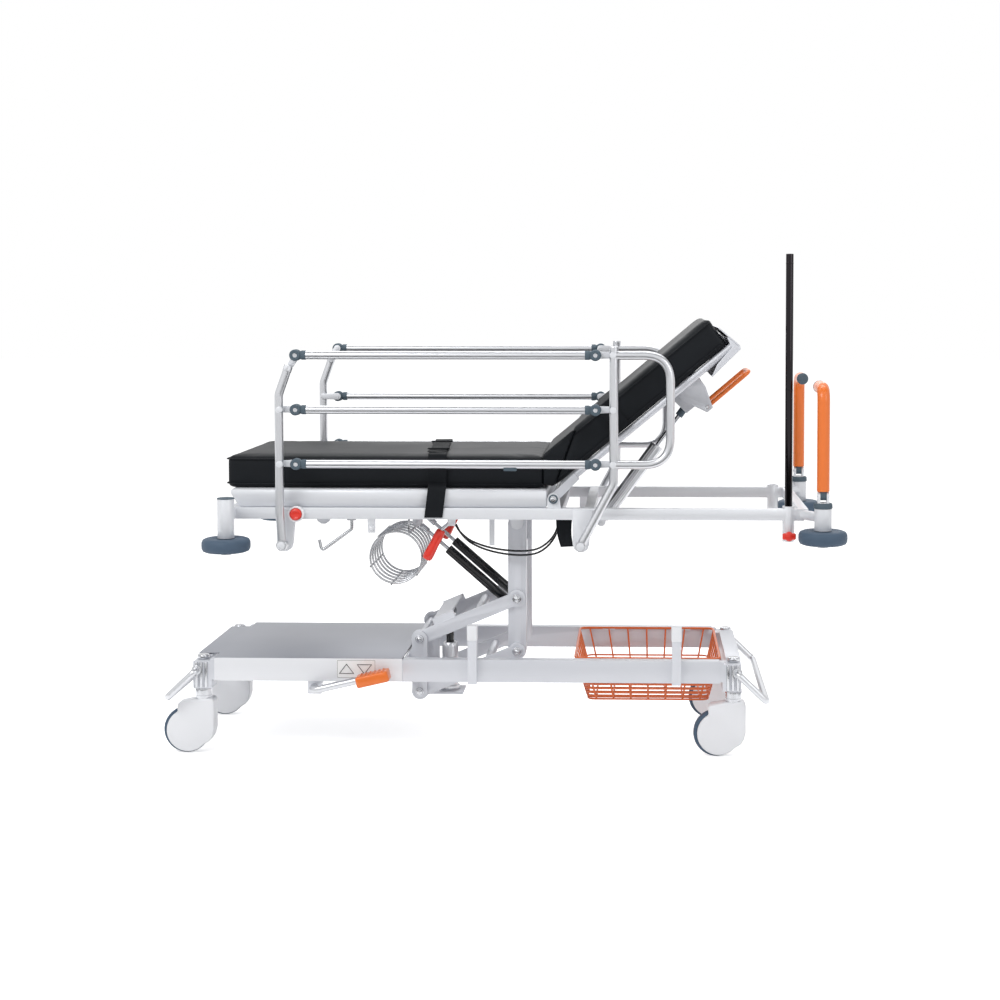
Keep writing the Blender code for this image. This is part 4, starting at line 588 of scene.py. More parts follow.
def bolt(centre: Point, axis: Point, radius: float, height: float) -> bpy.types.Object:
    """A washer with a hexagon head and a domed end, seated at centre and pointing along axis."""
    run = Vector(axis).normalized()
    base = Vector(centre)
    washer = bar(base, base + run * height * 0.3, radius, 32, height * 0.08)
    head = bar(base + run * height * 0.25, base + run * height * 0.85, radius * 0.72, 6, height * 0.1)
    dome = turned([(0, height), (radius * 0.22, height * 0.97), (radius * 0.38, height * 0.85), (0, height * 0.84)],
                  base, run, 16)
    return joined("bolt", [washer, head, dome])


@dataclass
class BaseFrame:
    """The base: frame, cover, label, wire basket and jack."""

    half_width: float = 0.250
    beam_top: float = 0.263
    post_xs: tuple[float, float] = (-0.077, 0.466)
    lift_x: float = -0.2325
    lug_face: float = 0.1495
    lug_heights: tuple[float, float] = (0.153, 0.2986)
    label_x: float = -0.3895
    label_z: float = 0.2370
    label_size: tuple[float, float] = (0.104, 0.049)
    skirt_ends: tuple[float, float] = (-0.772, -0.2660)

    def frame(self) -> None:
        """The beams, and the bolts through the lift's lugs."""
        heads = [bolt(at(self.lift_x, side * self.lug_face, z), (0, side, 0), 0.0115, 0.009)
                 for _, side in SIDES for z in self.lug_heights]
        dressed("base_frame", Look.PAINT, "base", 0.0012)
        piece("lift_bolts", heads, Look.CHROME, "base")

    def post_caps(self) -> None:
        """The white caps on the rest posts."""
        caps = []
        for x in self.post_xs:
            caps.append(block(at(x - 0.0138, -self.half_width - 0.0238, 0.3175),
                              at(x + 0.0138, -self.half_width - 0.0004, 0.3592), 0.0035, 4))
        piece("rest_post_caps", caps, Look.WHITE, "base")

    def label(self) -> None:
        """A plain film with an up and a down triangle beside the pump pedal."""
        width, height = self.label_size
        face = -self.half_width - 0.0016
        film = block(at(self.label_x - width / 2, face - 0.0003, self.label_z - height / 2),
                     at(self.label_x + width / 2, face + 0.0001, self.label_z + height / 2), 0.0001, 1)
        piece("pedal_label", [film], Look.PAPER, "base")
        lines = []
        for middle, up in ((-0.026, 1), (0.022, -1)):
            shape = [(-0.019, -0.012), (0.019, -0.012), (0.0, 0.013)]
            ring = [at(self.label_x + middle + x, face - 0.0003, self.label_z + up * z) for x, z in shape]
            lines.append(tube(ring, 0.0015, 3, closed=True))
        half_x, half_z = width / 2 * 0.97, height / 2 * 0.94
        edge = [(-half_x, -half_z), (half_x, -half_z), (half_x, half_z), (-half_x, half_z)]
        lines.append(tube([at(self.label_x + x, face - SKIN, self.label_z + z) for x, z in edge], 0.0005, 2,
                          closed=True))
        piece("pedal_label_marks", lines, Look.INK, "base")

    def basket(self) -> None:
        """The coated wire basket: rings at each level and U wires both ways."""
        rim, floor = (0.195, 0.584, 0.212), (0.228, 0.555, 0.172)
        top, bottom, wire, count = 0.2615, 0.1420, 0.0025, 7

        def level(share: float) -> tuple[float, float, float, float]:
            """The basket's ends, half width and height at a share of its depth."""
            low, high, half = (a + (b - a) * share for a, b in zip(floor, rim))
            return low, high, half, bottom + (top - bottom) * share

        wires = []
        for height in (bottom, 0.1525, 0.1640, 0.1755, 0.1870, top):
            x0, x1, half, z = level((height - bottom) / (top - bottom))
            ring = [at(x0, -half, z), at(x1, -half, z), at(x1, half, z), at(x0, half, z)]
            wires.append(tube(ring_route(ring, 0.022, 4), wire * (1.45 if height == top else 1.0), 2, closed=True))
        x0, x1, half, z = level(1.0)
        f0, f1, fh, fz = level(0.0)
        for i in range(count):
            share = (i + 0.5) / count
            hi, lo = x0 + (x1 - x0) * share, f0 + (f1 - f0) * share
            path = corners([at(hi, -half, z), at(lo, -fh, fz), at(lo, fh, fz), at(hi, half, z)], 0.012, 3)
            wires.append(tube(path, wire, 2))
        for i in range(count):
            share = 2 * (i + 0.5) / count - 1
            path = corners([at(x0, half * share, z), at(f0, fh * share, fz), at(f1, fh * share, fz),
                            at(x1, half * share, z)], 0.012, 3)
            wires.append(tube(path, wire, 2))
        piece("storage_basket_made", wires, Look.WIRE, "base", ("storage_basket",), SOFT)

    def skirt(self) -> None:
        """The cover's folded edge down the outside of the near and far beams."""
        x0, x1 = self.skirt_ends
        sheets = []
        for _, side in SIDES:
            inner, outer = side * (self.half_width + SKIN), side * (self.half_width + 0.0014)
            sheets.append(block(at(x0, min(inner, outer), 0.2035), at(x1, max(inner, outer), self.beam_top + 0.0022),
                                0.0005, 2))
        piece("base_cover_skirt", sheets, Look.SKIRT, "base")

    def build(self) -> None:
        """Every piece of the base."""
        self.frame()
        # The cover's top takes the darkened paint, which paints the shade under the platform.
        dressed("base_cover", Look.COVER, "base", 0.0012)
        self.skirt()
        self.post_caps()
        self.label()
        self.basket()
        dressed("jack_body", Look.TUBE, "base", 0.0005)
        dressed("jack_ram", Look.BLACK, "jack_ram", 0.0005)


@dataclass
class Castors:
    """Four swivel castors with moulded hoods."""

    radius: float = 0.0625
    trail: float = 0.045
    stem_y: float = 0.210
    stems: tuple[tuple[str, float], ...] = (("foot", -0.811), ("head", 0.620))

    def hood(self, name: str, x: float, y: float) -> None:
        """The hood with its stem, hollowed round the wheel.

        Args:
            name: The castor's end and side.
            x: The stem's X.
            y: The stem's Y.
        """
        half, axle = 0.0228, x - self.trail
        disc = arc((axle + 0.005, self.radius), 0.0575, 118, 317, 36)
        shoulder = [(disc[-1][0] - axle, disc[-1][1] - self.radius), (0.0645, -0.0285), (0.0730, -0.0150),
                    (0.0776, 0.0040), (0.0776, 0.0885), (0.0200, 0.0842), (-0.0240, 0.0752),
                    (disc[0][0] - axle, disc[0][1] - self.radius)]
        bend = corners([(dx, 0.0, dz) for dx, dz in shoulder], 0.014, 6)[1:-1]
        outline = [(px + MIDDLE, pz) for px, pz in disc]
        outline += [(axle + MIDDLE + p.x, self.radius + p.z) for p in bend]
        shell = plate(outline, y - half, y + half, 0.0045, 4)
        slot = bar(at(axle, y - 0.0158, self.radius), at(axle, y + 0.0158, self.radius), 0.0655, 64)
        modify(shell, "BOOLEAN", operation="DIFFERENCE", object=slot, solver="EXACT")
        bpy.data.objects.remove(slot)
        piece(f"castor_hood_{name}_made", [shell], Look.WHITE, f"castor_{name}", (f"castor_hood_{name}",), 50.0)
        stem = turned([(0, 0.144), (0.0215, 0.144), (0.0215, 0.1560), (0.0208, 0.1565), (0.0208, 0.1575),
                       (0.0215, 0.1580), (0.0215, 0.1700), (0.0228, 0.1708), (0.0228, 0.1790), (0.0220, 0.1800),
                       (0, 0.1800)], at(x, y, 0), UP)
        piece(f"castor_stem_{name}", [stem], Look.CHROME, f"castor_{name}")

    def socket(self, name: str, x: float, side: int) -> None:
        """The fluted cover of a castor's socket, with its cap.

        Args:
            name: The castor's end and side.
            x: The stem's X.
            side: +1 for the far side, -1 for the near side.
        """
        inward = 1 if x < 0 else -1
        face = side * (self.stem_y + 0.0375)
        flutes = [bar(at(x + inward * shift, face, 0.1835), at(x + inward * shift, face, 0.2525), 0.0052, 24, 0.0016)
                  for shift in (-0.010, 0.003, 0.016)]
        cap = bar(at(x, side * self.stem_y, 0.2535), at(x, side * self.stem_y, 0.2668), 0.0165, 40, 0.004)
        piece(f"castor_socket_{name}", [*flutes, cap], Look.CHROME, "base")

    def wheel(self, name: str, x: float, y: float) -> None:
        """The tyre and the hub.

        Args:
            name: The castor's end and side.
            x: The axle's X.
            y: The axle's Y.
        """
        tread = [(0.046, -0.0125), (0.0555, -0.0148), (0.0598, -0.0128), (0.0622, -0.0080), (self.radius, 0.0),
                 (0.0622, 0.0080), (0.0598, 0.0128), (0.0555, 0.0148), (0.046, 0.0125)]
        centre = at(x, y, self.radius)
        tyre = turned(tread, centre, ACROSS, 64, ring=True)
        piece(f"castor_tyre_{name}", [tyre], Look.RUBBER, f"wheel_{name}", (f"castor_wheel_{name}",))
        hub = turned([(0, -0.0150), (0.014, -0.0150), (0.017, -0.0105), (0.036, -0.0095), (0.041, -0.0135),
                      (0.0475, -0.0125), (0.0475, 0.0125), (0.041, 0.0135), (0.036, 0.0095), (0.017, 0.0105),
                      (0.014, 0.0150), (0, 0.0150)], centre, ACROSS, 64)
        piece(f"castor_hub_{name}", [hub], Look.WHITE, f"wheel_{name}")

    def build(self) -> None:
        """All four castors."""
        for end, x in self.stems:
            for side_name, side in SIDES:
                self.hood(f"{end}_{side_name}", x, side * self.stem_y)
                self.wheel(f"{end}_{side_name}", x - self.trail, side * self.stem_y)
                self.socket(f"{end}_{side_name}", x, side)


@dataclass
class Pedals:
    """The brake bars and the pump pedal."""

    bar_radius: float = 0.0095
    bar_y: float = 0.268
    pivot_z: float = 0.232
    reach: float = 0.0755
    drop: float = 0.072
    shaft: tuple[float, float] = (-0.503, 0.186)
    lever_run: tuple[float, float] = (0.203, 0.0472)
    pad_size: tuple[float, float] = (0.088, 0.048)

    def brake(self, end: str, x: float, away: int) -> None:
        """One U-shaped bar."""
        y, tip = self.bar_y, (x + away * self.reach, self.pivot_z - self.drop)
        path = corners([at(x, -0.240, self.pivot_z), at(x, -y, self.pivot_z), at(tip[0], -y, tip[1]),
                        at(tip[0], y, tip[1]), at(x, y, self.pivot_z), at(x, 0.240, self.pivot_z)], 0.014, 8)
        collars = [bar(at(x, s * 0.2504, self.pivot_z), at(x, s * 0.2560, self.pivot_z), 0.0130, 32, 0.001)
                   for _, s in SIDES]
        piece(f"brake_bar_{end}_made", [tube(path, self.bar_radius), *collars], Look.TUBE, f"brake_bar_{end}",
              (f"brake_bar_{end}",))

    def pump(self) -> None:
        """The pump lever and its ribbed pad."""
        (x, z), y = self.shaft, -0.290
        tip = at(x + self.lever_run[0], y, z + self.lever_run[1])
        path = corners([at(x, -0.120, z), at(x, y, z), tip], 0.020, 8)
        piece("pump_lever_made", [tube(path, 0.0100, 8)], Look.TUBE, "pump_lever", ("pump_lever",))
        run = (tip - at(x, y, z)).normalized()
        middle = tip - run * (self.pad_size[0] / 2 - 0.004)
        length, width = self.pad_size[0] / 2, self.pad_size[1] / 2
        parts = [block((-length, -width, -0.0178), (length, width, 0.0120), 0.006, 4)]
        for i in range(6):
            rib, reach = -length + 0.014 + i * 0.012, width - 0.005
            parts.append(block((rib - 0.002, -reach, 0.0100), (rib + 0.002, reach, 0.0138), 0.0010, 2))
        pad = joined("pad", parts)
        pad.rotation_euler = (0, -math.atan2(run.z, run.x), 0)
        pad.location = middle
        piece("pump_pad_made", [settle(pad)], Look.ORANGE, "pump_lever", ("pump_pedal_pad",))

    def build(self) -> None:
        """Both bars and the pedal."""
        self.brake("foot", -0.820, -1)
        self.brake("head", 0.629, 1)
        self.pump()


@dataclass
class Lift:
    """The lift arms, the columns and the tilt gas springs."""

    foot: tuple[float, float] = (0.014, 0.383)
    head: tuple[float, float] = (-0.245, 0.611)
    spring_y: float = 0.080
    body_length: float = 0.233
    column_x: float = 0.03365
    column_pivots: tuple[float, float] = (0.2643, 0.4099)
    bolt_face: float = 0.1464

    def springs(self) -> None:
        """Two gas springs with their end fittings."""
        start, end = Vector((self.foot[0], 0, self.foot[1])), Vector((self.head[0], 0, self.head[1]))
        run = (end - start).normalized()
        for side_name, side in SIDES:
            shift = at(0, side * self.spring_y, 0)
            low, high = start + shift, end + shift
            barrel = bar(low + run * 0.012, low + run * self.body_length, 0.0130, 40, 0.0025)
            eye = turned([(0.0068, -0.009), (0.0128, -0.009), (0.0134, -0.0078), (0.0134, 0.0078), (0.0128, 0.009),
                          (0.0068, 0.009)], low, ACROSS, 32, ring=True)
            neck = bar(low + run * 0.008, low + run * 0.016, 0.0085, 24)
            piece(f"tilt_spring_cylinder_{side_name}_made", [barrel, eye, neck], Look.BLACK,
                  f"tilt_cylinder_{side_name}", (f"tilt_spring_cylinder_{side_name}",))
            rod = bar(low + run * 0.110, high - run * 0.012, 0.0050, 24)
            ferrule = bar(high - run * 0.040, high - run * 0.014, 0.0078, 24, 0.001)
            ring = turned([(0.0092, -0.008), (0.0132, -0.008), (0.0138, -0.007), (0.0138, 0.007), (0.0132, 0.008),
                           (0.0092, 0.008)], high, ACROSS, 32, ring=True)
            piece(f"tilt_spring_rod_{side_name}_made", [rod, ferrule, ring], Look.CHROME,
                  f"tilt_rod_{side_name}", (f"tilt_spring_rod_{side_name}",))

    def bolts(self) -> None:
        """The bolts at the columns' pivots."""
        heads = [bolt(at(self.column_x, side * self.bolt_face, z), (0, side, 0), 0.0125, 0.0095)
                 for _, side in SIDES for z in self.column_pivots]
        piece("column_bolts", heads, Look.CHROME, "columns")

    def build(self) -> None:
        """Arms, columns and springs."""
        self.bolts()
        dressed("upper_lift_arms", Look.PAINT, "upper_arms", 0.0012)
        dressed("lower_lift_arms", Look.PAINT, "lower_arms", 0.0012)
        dressed("lift_columns", Look.PAINT, "columns", 0.0012)
        self.springs()


@dataclass
class Platform:
    """The platform frame with the deck, bumpers and what hangs below it."""

    beam_y: float = 0.2625
    bumper_y: float = 0.335
    bumper_tops: tuple[float, float] = (0.600, 0.625)
    foot_x: float = -0.716
    head_x: float = 0.843
    latch: tuple[float, float] = (-0.540, 0.658)
    hinge_faces: tuple[float, float] = (0.2681, 0.2693)
    oxygen: tuple[float, float] = (-0.2885, 0.530)
    cord: float = 0.0056

    def frame(self) -> None:
        """The box frame, the tray above it and the backrest's hinge."""
        bolts = [bolt(at(-0.344, -0.268, 0.618), (0, -1, 0), 0.0085, 0.0065),
                 bolt(at(-0.245, 0.2752, 0.658), (0, 1, 0), 0.0070, 0.0050)]
        # The platform frame and deck take the lighter copy of the paint, which paints the light falling on them.
        dressed("under_frame", Look.PALE, "platform", 0.0010, bolts)
        dressed("deck_panel", Look.PALE, "platform", 0.0015)
        dressed("backrest_hinge_rod", Look.CHROME, "platform", 0.0006)
        (x, z), inner, outer = HINGE, *self.hinge_faces
        rings = [bar(at(x, side * inner, z), at(x, side * outer, z), 0.0125, 40, 0.0004) for _, side in SIDES]
        piece("hinge_washers", rings, Look.BLUE_GREY, "platform")
        heads = [bolt(at(x, side * outer, z), (0, side, 0), 0.0085, 0.0052) for _, side in SIDES]
        piece("hinge_bolts", heads, Look.CHROME, "platform")

    def plugs(self) -> None:
        """The caps and rims of the bumper posts, and the rims round the latch buttons."""
        parts = []
        for _, side in SIDES:
            y = side * self.bumper_y
            parts.append(turned([(0, 0.0028), (0.0205, 0.0028), (0.0226, 0.0016), (0.0230, 0.0), (0, 0.0)],
                                at(self.foot_x, y, 0.7030), UP))
            parts.append(turned([(0.0222, -0.0140), (0.0240, -0.0130), (0.0246, -0.0110), (0.0240, -0.0020),
                                 (0.0222, 0.0004), (0.0180, 0.0010), (0.0180, -0.0004), (0.0222, -0.0004)],
                                at(self.head_x, y, 0.6965), UP, ring=True))
        piece("post_plugs", parts, Look.BLUE_GREY, "platform")
        rims = []
        for _, side in SIDES:
            rims.append(turned([(0.0163, -0.010), (0.0203, -0.010), (0.0212, -0.0085), (0.0212, 0.0),
                                (0.0200, 0.0012), (0.0172, 0.0012), (0.0163, 0.0)],
                               at(self.latch[0], side * 0.2945, self.latch[1]), (0, side, 0), 48, ring=True))
        piece("latch_rims", rims, Look.WHITE, "platform")

    def latches(self) -> None:
        """The red push buttons."""
        for side_name, side in SIDES:
            button = turned([(0, -0.008), (0.0155, -0.008), (0.0155, 0.0055), (0.0146, 0.0072), (0.0110, 0.0085),
                             (0.0105, 0.0080), (0.0, 0.0074)],
                            at(self.latch[0], side * 0.2920, self.latch[1]), (0, side, 0))
            piece(f"latch_button_{side_name}_made", [button], Look.RED, f"latch_{side_name}",
                  (f"latch_button_{side_name}",))

    def bumpers(self) -> None:
        """The four rubber rollers."""
        profile = [(0.0085, -0.0165), (0.030, -0.0165), (0.034, -0.0180), (0.0520, -0.0180), (0.0595, -0.0150),
                   (0.0630, -0.0085), (0.0635, 0.0), (0.0630, 0.0085), (0.0595, 0.0150), (0.0520, 0.0180),
                   (0.034, 0.0180), (0.030, 0.0165), (0.0085, 0.0165)]
        for end, x, top in (("foot", self.foot_x, self.bumper_tops[0]), ("head", self.head_x, self.bumper_tops[1])):
            for side_name, side in SIDES:
                disc = turned(profile, at(x, side * self.bumper_y, top - 0.018), UP, 64, ring=True)
                piece(f"bumper_{end}_{side_name}_made", [disc], Look.RUBBER, f"bumper_{end}_{side_name}",
                      (f"bumper_wheel_{end}_{side_name}",))

    def holder(self) -> None:
        """The wire cradle for an oxygen cylinder."""
        wires, count, radius, wire, hung = [], 6, 0.070, 0.0030, 62
        for i in range(count):
            y = -0.1974 + 0.2048 * i / (count - 1)
            ring = [at(x, y, z) for x, z in arc(self.oxygen, radius, 0, 360, 48)[:-1]]
            wires.append(tube(ring, wire, 3, closed=True))
        for angle in (hung, 130, 200, 260, 320):
            x, z = arc(self.oxygen, radius + 0.0035, angle, angle, 1)[0]
            wires.append(tube([at(x, -0.200, z), at(x, 0.010, z)], wire, 3))
        x, z = arc(self.oxygen, radius, hung, hung, 1)[0]
        for y in (-0.180, -0.010):
            wires.append(block(at(x - 0.008, y - 0.008, 0.6405), at(-0.237, y + 0.008, 0.6437), 0.0006, 1))
            wires.append(block(at(x - 0.002, y - 0.008, z), at(x + 0.002, y + 0.008, 0.6430), 0.0006, 1))
        piece("oxygen_holder_made", wires, Look.WIRE_STEEL, "platform", ("oxygen_holder",), SOFT)

    def hook(self) -> None:
        """The bent rod for a drainage bag."""
        y, top = -self.beam_y, 0.6427
        path = corners([at(-0.397, y, top - 0.002), at(-0.397, y, 0.615), at(-0.478, y, 0.556), at(-0.484, y, 0.586)],
                       0.008, 6)
        flange = block(at(-0.409, y - 0.009, top - 0.004), at(-0.385, y + 0.009, top), 0.0012)
        piece("bag_hook_made", [tube(path, 0.0044, 4), flange], Look.WIRE_STEEL, "platform", ("bag_hook",))

    def levers(self) -> None:
        """The red grips that release the tilt gas springs."""
        for side_name, side in SIDES:
            pivot = at(-0.136, side * 0.205, 0.630)
            knee = pivot + Vector((-0.027, 0, -0.022))
            run = Vector((-0.461, 0, -0.887)).normalized()
            tip = knee + run * 0.092
            stem = tube(corners([pivot, knee, tip], 0.012, 6), 0.0050, 4)
            eye = bar(pivot - Vector((0, 0.008, 0)), pivot + Vector((0, 0.008, 0)), 0.0088, 32, 0.0008)
            piece(f"tilt_lever_{side_name}_stem", [stem, eye], Look.CHROME, f"tilt_lever_{side_name}",
                  (f"tilt_lever_{side_name}",))
            grip = turned([(0, 0.003), (0.0095, 0.003), (0.0122, 0.007), (0.0132, 0.020), (0.0125, 0.045),
                           (0.0138, 0.072), (0.0134, 0.086), (0.0105, 0.0915), (0, 0.0930)], knee, run, 40)
            piece(f"tilt_lever_{side_name}_grip", [grip], Look.RED, f"tilt_lever_{side_name}")

    def cable(self) -> None:
        """The release cables from the levers to the cross member."""
        route = ((-0.1300, 0.6170), (-0.1150, 0.5950), (-0.0850, 0.5720), (-0.0310, 0.5540), (0.0340, 0.5460),
                 (0.0850, 0.5500), (0.1180, 0.5680), (0.1400, 0.5950), (0.1490, 0.6250), (0.1500, 0.6436))
        for name, y, lift, nodes in (("near", -0.178, 0.0, ("control_cable",)), ("inner", -0.166, -0.013, ())):
            points = smooth([at(x, y, z + lift * math.sin(math.pi * k / (len(route) - 1)) - 0.0005)
                             for k, (x, z) in enumerate(route)], 4)
            length = sum((b - a).length for a, b in zip(points, points[1:]))
            wire = tube(points, self.cord / 2, 4)
            made = piece(f"control_cable_{name}_made", [wire], Look.BLACK, "platform", nodes)

    def build(self) -> None:
        """Every piece of the platform."""
        self.frame()
        self.plugs()
        self.latches()
        self.bumpers()
        self.holder()
        self.hook()
        self.levers()
        self.cable()


def leaned(u: float, n: float, y: float = 0.0) -> Vector:
    """A point in the backrest's own lines: u up along it, n out of its pad side."""
    return at(HINGE[0] + u * math.cos(LEAN) - n * math.sin(LEAN), y,
              HINGE[1] + u * math.sin(LEAN) + n * math.cos(LEAN))


def leaned_outline(pairs: Iterable[tuple[float, float]]) -> Outline:
    """The (x, z) outline of points in the backrest's own lines."""
    return [(place.x, place.z) for place in (leaned(u, n) for u, n in pairs)]


@dataclass
class Mattresses:
    """The two foam pads in coated cloth, and the webbing round them."""

    half_width: float = 0.245
    seat_ends: tuple[float, float] = (-0.742, 0.121)
    seat_bottom: float = 0.7213
    thickness: float = 0.090
    back_length: float = 0.6216
    back_offset: float = 0.0205
    inset: float = 0.0045
    voxel: float = 0.007
    pressure: float = 4.0
    steps: int = 20
    thread: float = 0.0016
    seam_in: float = 0.0125
    webbing: float = 0.0019
    stretch: tuple[float, float] = (0.110, 0.136)

    def filled(self, item: bpy.types.Object, floor: Vector, up: Vector) -> bpy.types.Object:
        """Blows the pad up a little by cloth simulation and keeps it flat where it rests.

        Args:
            item: The pad's plain shape.
            floor: A point of what it rests on.
            up: The direction away from what it rests on.

        Returns:
            The pad.
        """
        modify(item, "REMESH", mode="VOXEL", voxel_size=self.voxel)
        rest = [vertex.co.copy() for vertex in item.data.vertices]
        alone(item)
        cloth = item.modifiers.new("fill", "CLOTH")
        cloth.settings.use_pressure = True
        cloth.settings.uniform_pressure_force = self.pressure
        cloth.settings.effector_weights.gravity = 0.0
        for moment in range(1, self.steps + 1):
            bpy.context.scene.frame_set(moment)
        bpy.ops.object.modifier_apply(modifier=cloth.name)
        bpy.context.scene.frame_set(1)
        for vertex, start in zip(item.data.vertices, rest):
            move = vertex.co - start
            if move.length > self.inset:
                move *= self.inset / move.length
            place = start + move
            depth = (place - floor).dot(up)
            vertex.co = place - up * min(depth, 0.0)
        return modify(item, "SUBSURF", levels=1, render_levels=1)

    def seam(self, ring: Sequence[Vector]) -> bpy.types.Object:
        """A thin sewn edge round the pad."""
        return tube(ring_route(ring, 0.020, 6), self.thread, 3, closed=True)

    def seat(self) -> None:
        """The flat pad on the deck."""
        i, (x0, x1), y = self.inset, self.seat_ends, self.half_width
        low, high = self.seat_bottom, self.seat_bottom + self.thickness
        shape = block(at(x0 + i, -y + i, low), at(x1 - i, y - i, high - i), 0.012, 4)
        pad = self.filled(shape, at(0, 0, low), Vector(UP))
        seams, edge = [], i - SKIN
        for z in (low + self.seam_in, high - self.seam_in):
            seams.append(self.seam([at(x0 + edge, -y + edge, z), at(x1 - edge, -y + edge, z),
                                    at(x1 - edge, y - edge, z), at(x0 + edge, y - edge, z)]))
        made = piece("seat_mattress_made", [pad, *seams], Look.PAD, "platform", ("seat_mattress",), SOFT)

    def back(self) -> None:
        """The pad of the backrest, cut slanting at its foot."""
        i, low = self.inset, self.back_offset
        high, y, end = low + self.thickness - i, self.half_width - i, self.back_length - i
        outline = [(0.0085 + i, low), (end, low), (end, 0.078), (end + 0.007, high + 0.002), (0.153 + i, high)]
        shape = plate(leaned_outline(outline), -y, y, 0.012, 4)
        up = leaned(0, 1) - leaned(0, 0)
        pad = self.filled(shape, leaned(0, low), up)
        seams = []
        for n, start in ((low + self.seam_in, 0.032), (high - 0.0095, 0.141)):
            seams.append(self.seam([leaned(start + i, n, -y), leaned(end, n, -y), leaned(end, n, y),
                                    leaned(start + i, n, y)]))
        made = piece("back_mattress_made", [pad, *seams], Look.PAD, "backrest", ("back_mattress",), SOFT)

    def gusset(self) -> None:
        """The soft fill that closes the notch between the two pads and stretches over the hinge."""
        y, end = self.half_width - self.inset, self.seat_ends[1] - 0.010
        top = self.seat_bottom + self.thickness - 0.0015
        high = self.back_offset + self.thickness - 0.003
        face = leaned_outline([(0.020, self.back_offset + 0.002), (0.165, high), (0.050, high)])
        outline = [(end + MIDDLE, self.seat_bottom + 0.010), *face, (end + MIDDLE, top)]
        shape = modify(plate(outline, -y, y, 0.004, 2), "REMESH", mode="VOXEL", voxel_size=0.006)
        made = piece("mattress_gusset", [shape], Look.PAD, "", (), SOFT)
        still, moving = self.stretch
        tuple(at(still, 0, top))
        tuple(at(moving, 0, top))
        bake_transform(made)

    def band(self, rows: Sequence[tuple[Point, Point]], ripple: float, seed: float) -> bpy.types.Object:
        """A strap from pairs of edge points, with soft ripples and its own thickness.

        Args:
            rows: The two edges of the strap, pair by pair along it.
            ripple: The height of the ripples.
            seed: Where in the noise they start.

        Returns:
            The strap.
        """
        nothing()
        bpy.ops.mesh.primitive_plane_add()
        item = bpy.context.object
        across = 8
        lefts = smooth([left for left, _ in rows], 6)
        rights = smooth([right for _, right in rows], 6)
        count = len(lefts)
        points, faces = [], []
        for k, (left, right) in enumerate(zip(lefts, rights)):
            before, after = lefts[max(k - 1, 0)], lefts[min(k + 1, count - 1)]
            normal = (right - left).cross(after - before).normalized()
            for j in range(across + 1):
                place = left.lerp(right, j / across)
                points.append(place + normal * ripple * noise.noise(place * 22.0 + Vector((seed, 0, 0))))
        wide = across + 1
        for k in range(count - 1):
            for j in range(across):
                a = k * wide + j
                faces.append((a, a + 1, a + 1 + wide, a + wide))
        item.data.clear_geometry()
        item.data.from_pydata(points, [], faces)
        item.location = (0.0, 0.0, 0.0)
        modify(item, "SOLIDIFY", thickness=self.webbing, offset=0.0)
        return outward(item)

    def straps(self) -> None:
        """The strap over the seat pad with its folded end, the one round the back pad, and a spare tail."""
        x, half, y = -0.170, 0.024, self.half_width + 0.0027
        top = self.seat_bottom + self.thickness + 0.0028
        route = [(-0.2790, 0.648, 0.010), (-0.2790, 0.672, 0.007), (-0.2788, 0.694, 0.004), (-0.2725, 0.723, 0.001),
                 (-y - 0.001, 0.742, 0.0), (-y, 0.775, 0.0), (-y, top - 0.012, 0.0), (-y + 0.010, top - 0.001, 0.0),
                 (-0.18, top + 0.0003, 0.0), (-0.09, top, 0.0), (0.0, top, 0.0), (0.09, top, 0.0), (0.18, top, 0.0),
                 (y - 0.010, top - 0.001, 0.0), (y, top - 0.012, 0.0), (y, 0.775, 0.0), (y + 0.001, 0.742, 0.0),
                 (0.2725, 0.723, 0.0), (0.2788, 0.694, 0.0), (0.2790, 0.672, 0.0), (0.2790, 0.648, 0.0)]
        slant = 0.075
        rows = [(at(x - half - shift - slant * (py + y), py, pz), at(x + half - shift - slant * (py + y), py, pz))
                for py, pz, shift in route]
        parts = [self.band(rows, 0.0012, 0.0)]
        fold = [(-0.215, 0.0030, -0.004), (-0.150, 0.0055, 0.002), (-0.080, 0.0050, 0.004), (-0.010, 0.0060, 0.001),
                (0.050, 0.0050, -0.003), (0.090, 0.0030, -0.004)]
        rows = [(at(x - half + shift - slant * (py + y), py, top + up),
                 at(x + half + shift - slant * (py + y) - 0.002, py, top + up)) for py, up, shift in fold]
        parts.append(self.band(rows, 0.0026, 4.0))
        for py in (-0.175, 0.060):
            middle = x - slant * (py + y)
            loop = [at(middle - 0.029, py, top + 0.0075), at(middle + 0.029, py, top + 0.0075),
                    at(middle + 0.029, py + 0.014, top + 0.0075), at(middle - 0.029, py + 0.014, top + 0.0075)]
            parts.append(tube(ring_route(loop, 0.003, 3), self.thread, 3, closed=True))
        piece("seat_strap_made", parts, Look.STRAP, "platform", ("seat_strap",), SOFT)
        low, high, u0 = 0.024, self.back_offset + self.thickness + 0.0012, 0.236
        ring = [(-y, low), (-y, 0.060), (-y, high - 0.012), (-y + 0.010, high), (-0.12, high), (0.0, high),
                (0.12, high), (y - 0.010, high), (y, high - 0.012), (y, 0.060), (y, low)]
        rows = [(leaned(u0, n, py), leaned(u0 + 0.048, n, py)) for py, n in ring]
        piece("back_strap_made", [self.band(rows, 0.0010, 9.0)], Look.STRAP, "backrest", ("back_strap",), SOFT)
        tail = [(0.1440, 0.642), (0.1450, 0.618), (0.1480, 0.594), (0.1530, 0.574), (0.1566, 0.562)]
        rows = [(at(px, -0.216, pz), at(px + 0.044 - 0.13 * (0.642 - pz), -0.2175, pz + 0.002)) for px, pz in tail]
        piece("spare_strap_tail", [self.band(rows, 0.0016, 15.0)], Look.STRAP, "platform", (), SOFT)

    def build(self) -> None:
        """Both pads and the webbing."""
        self.seat()
        self.back()
        self.gusset()
        self.straps()


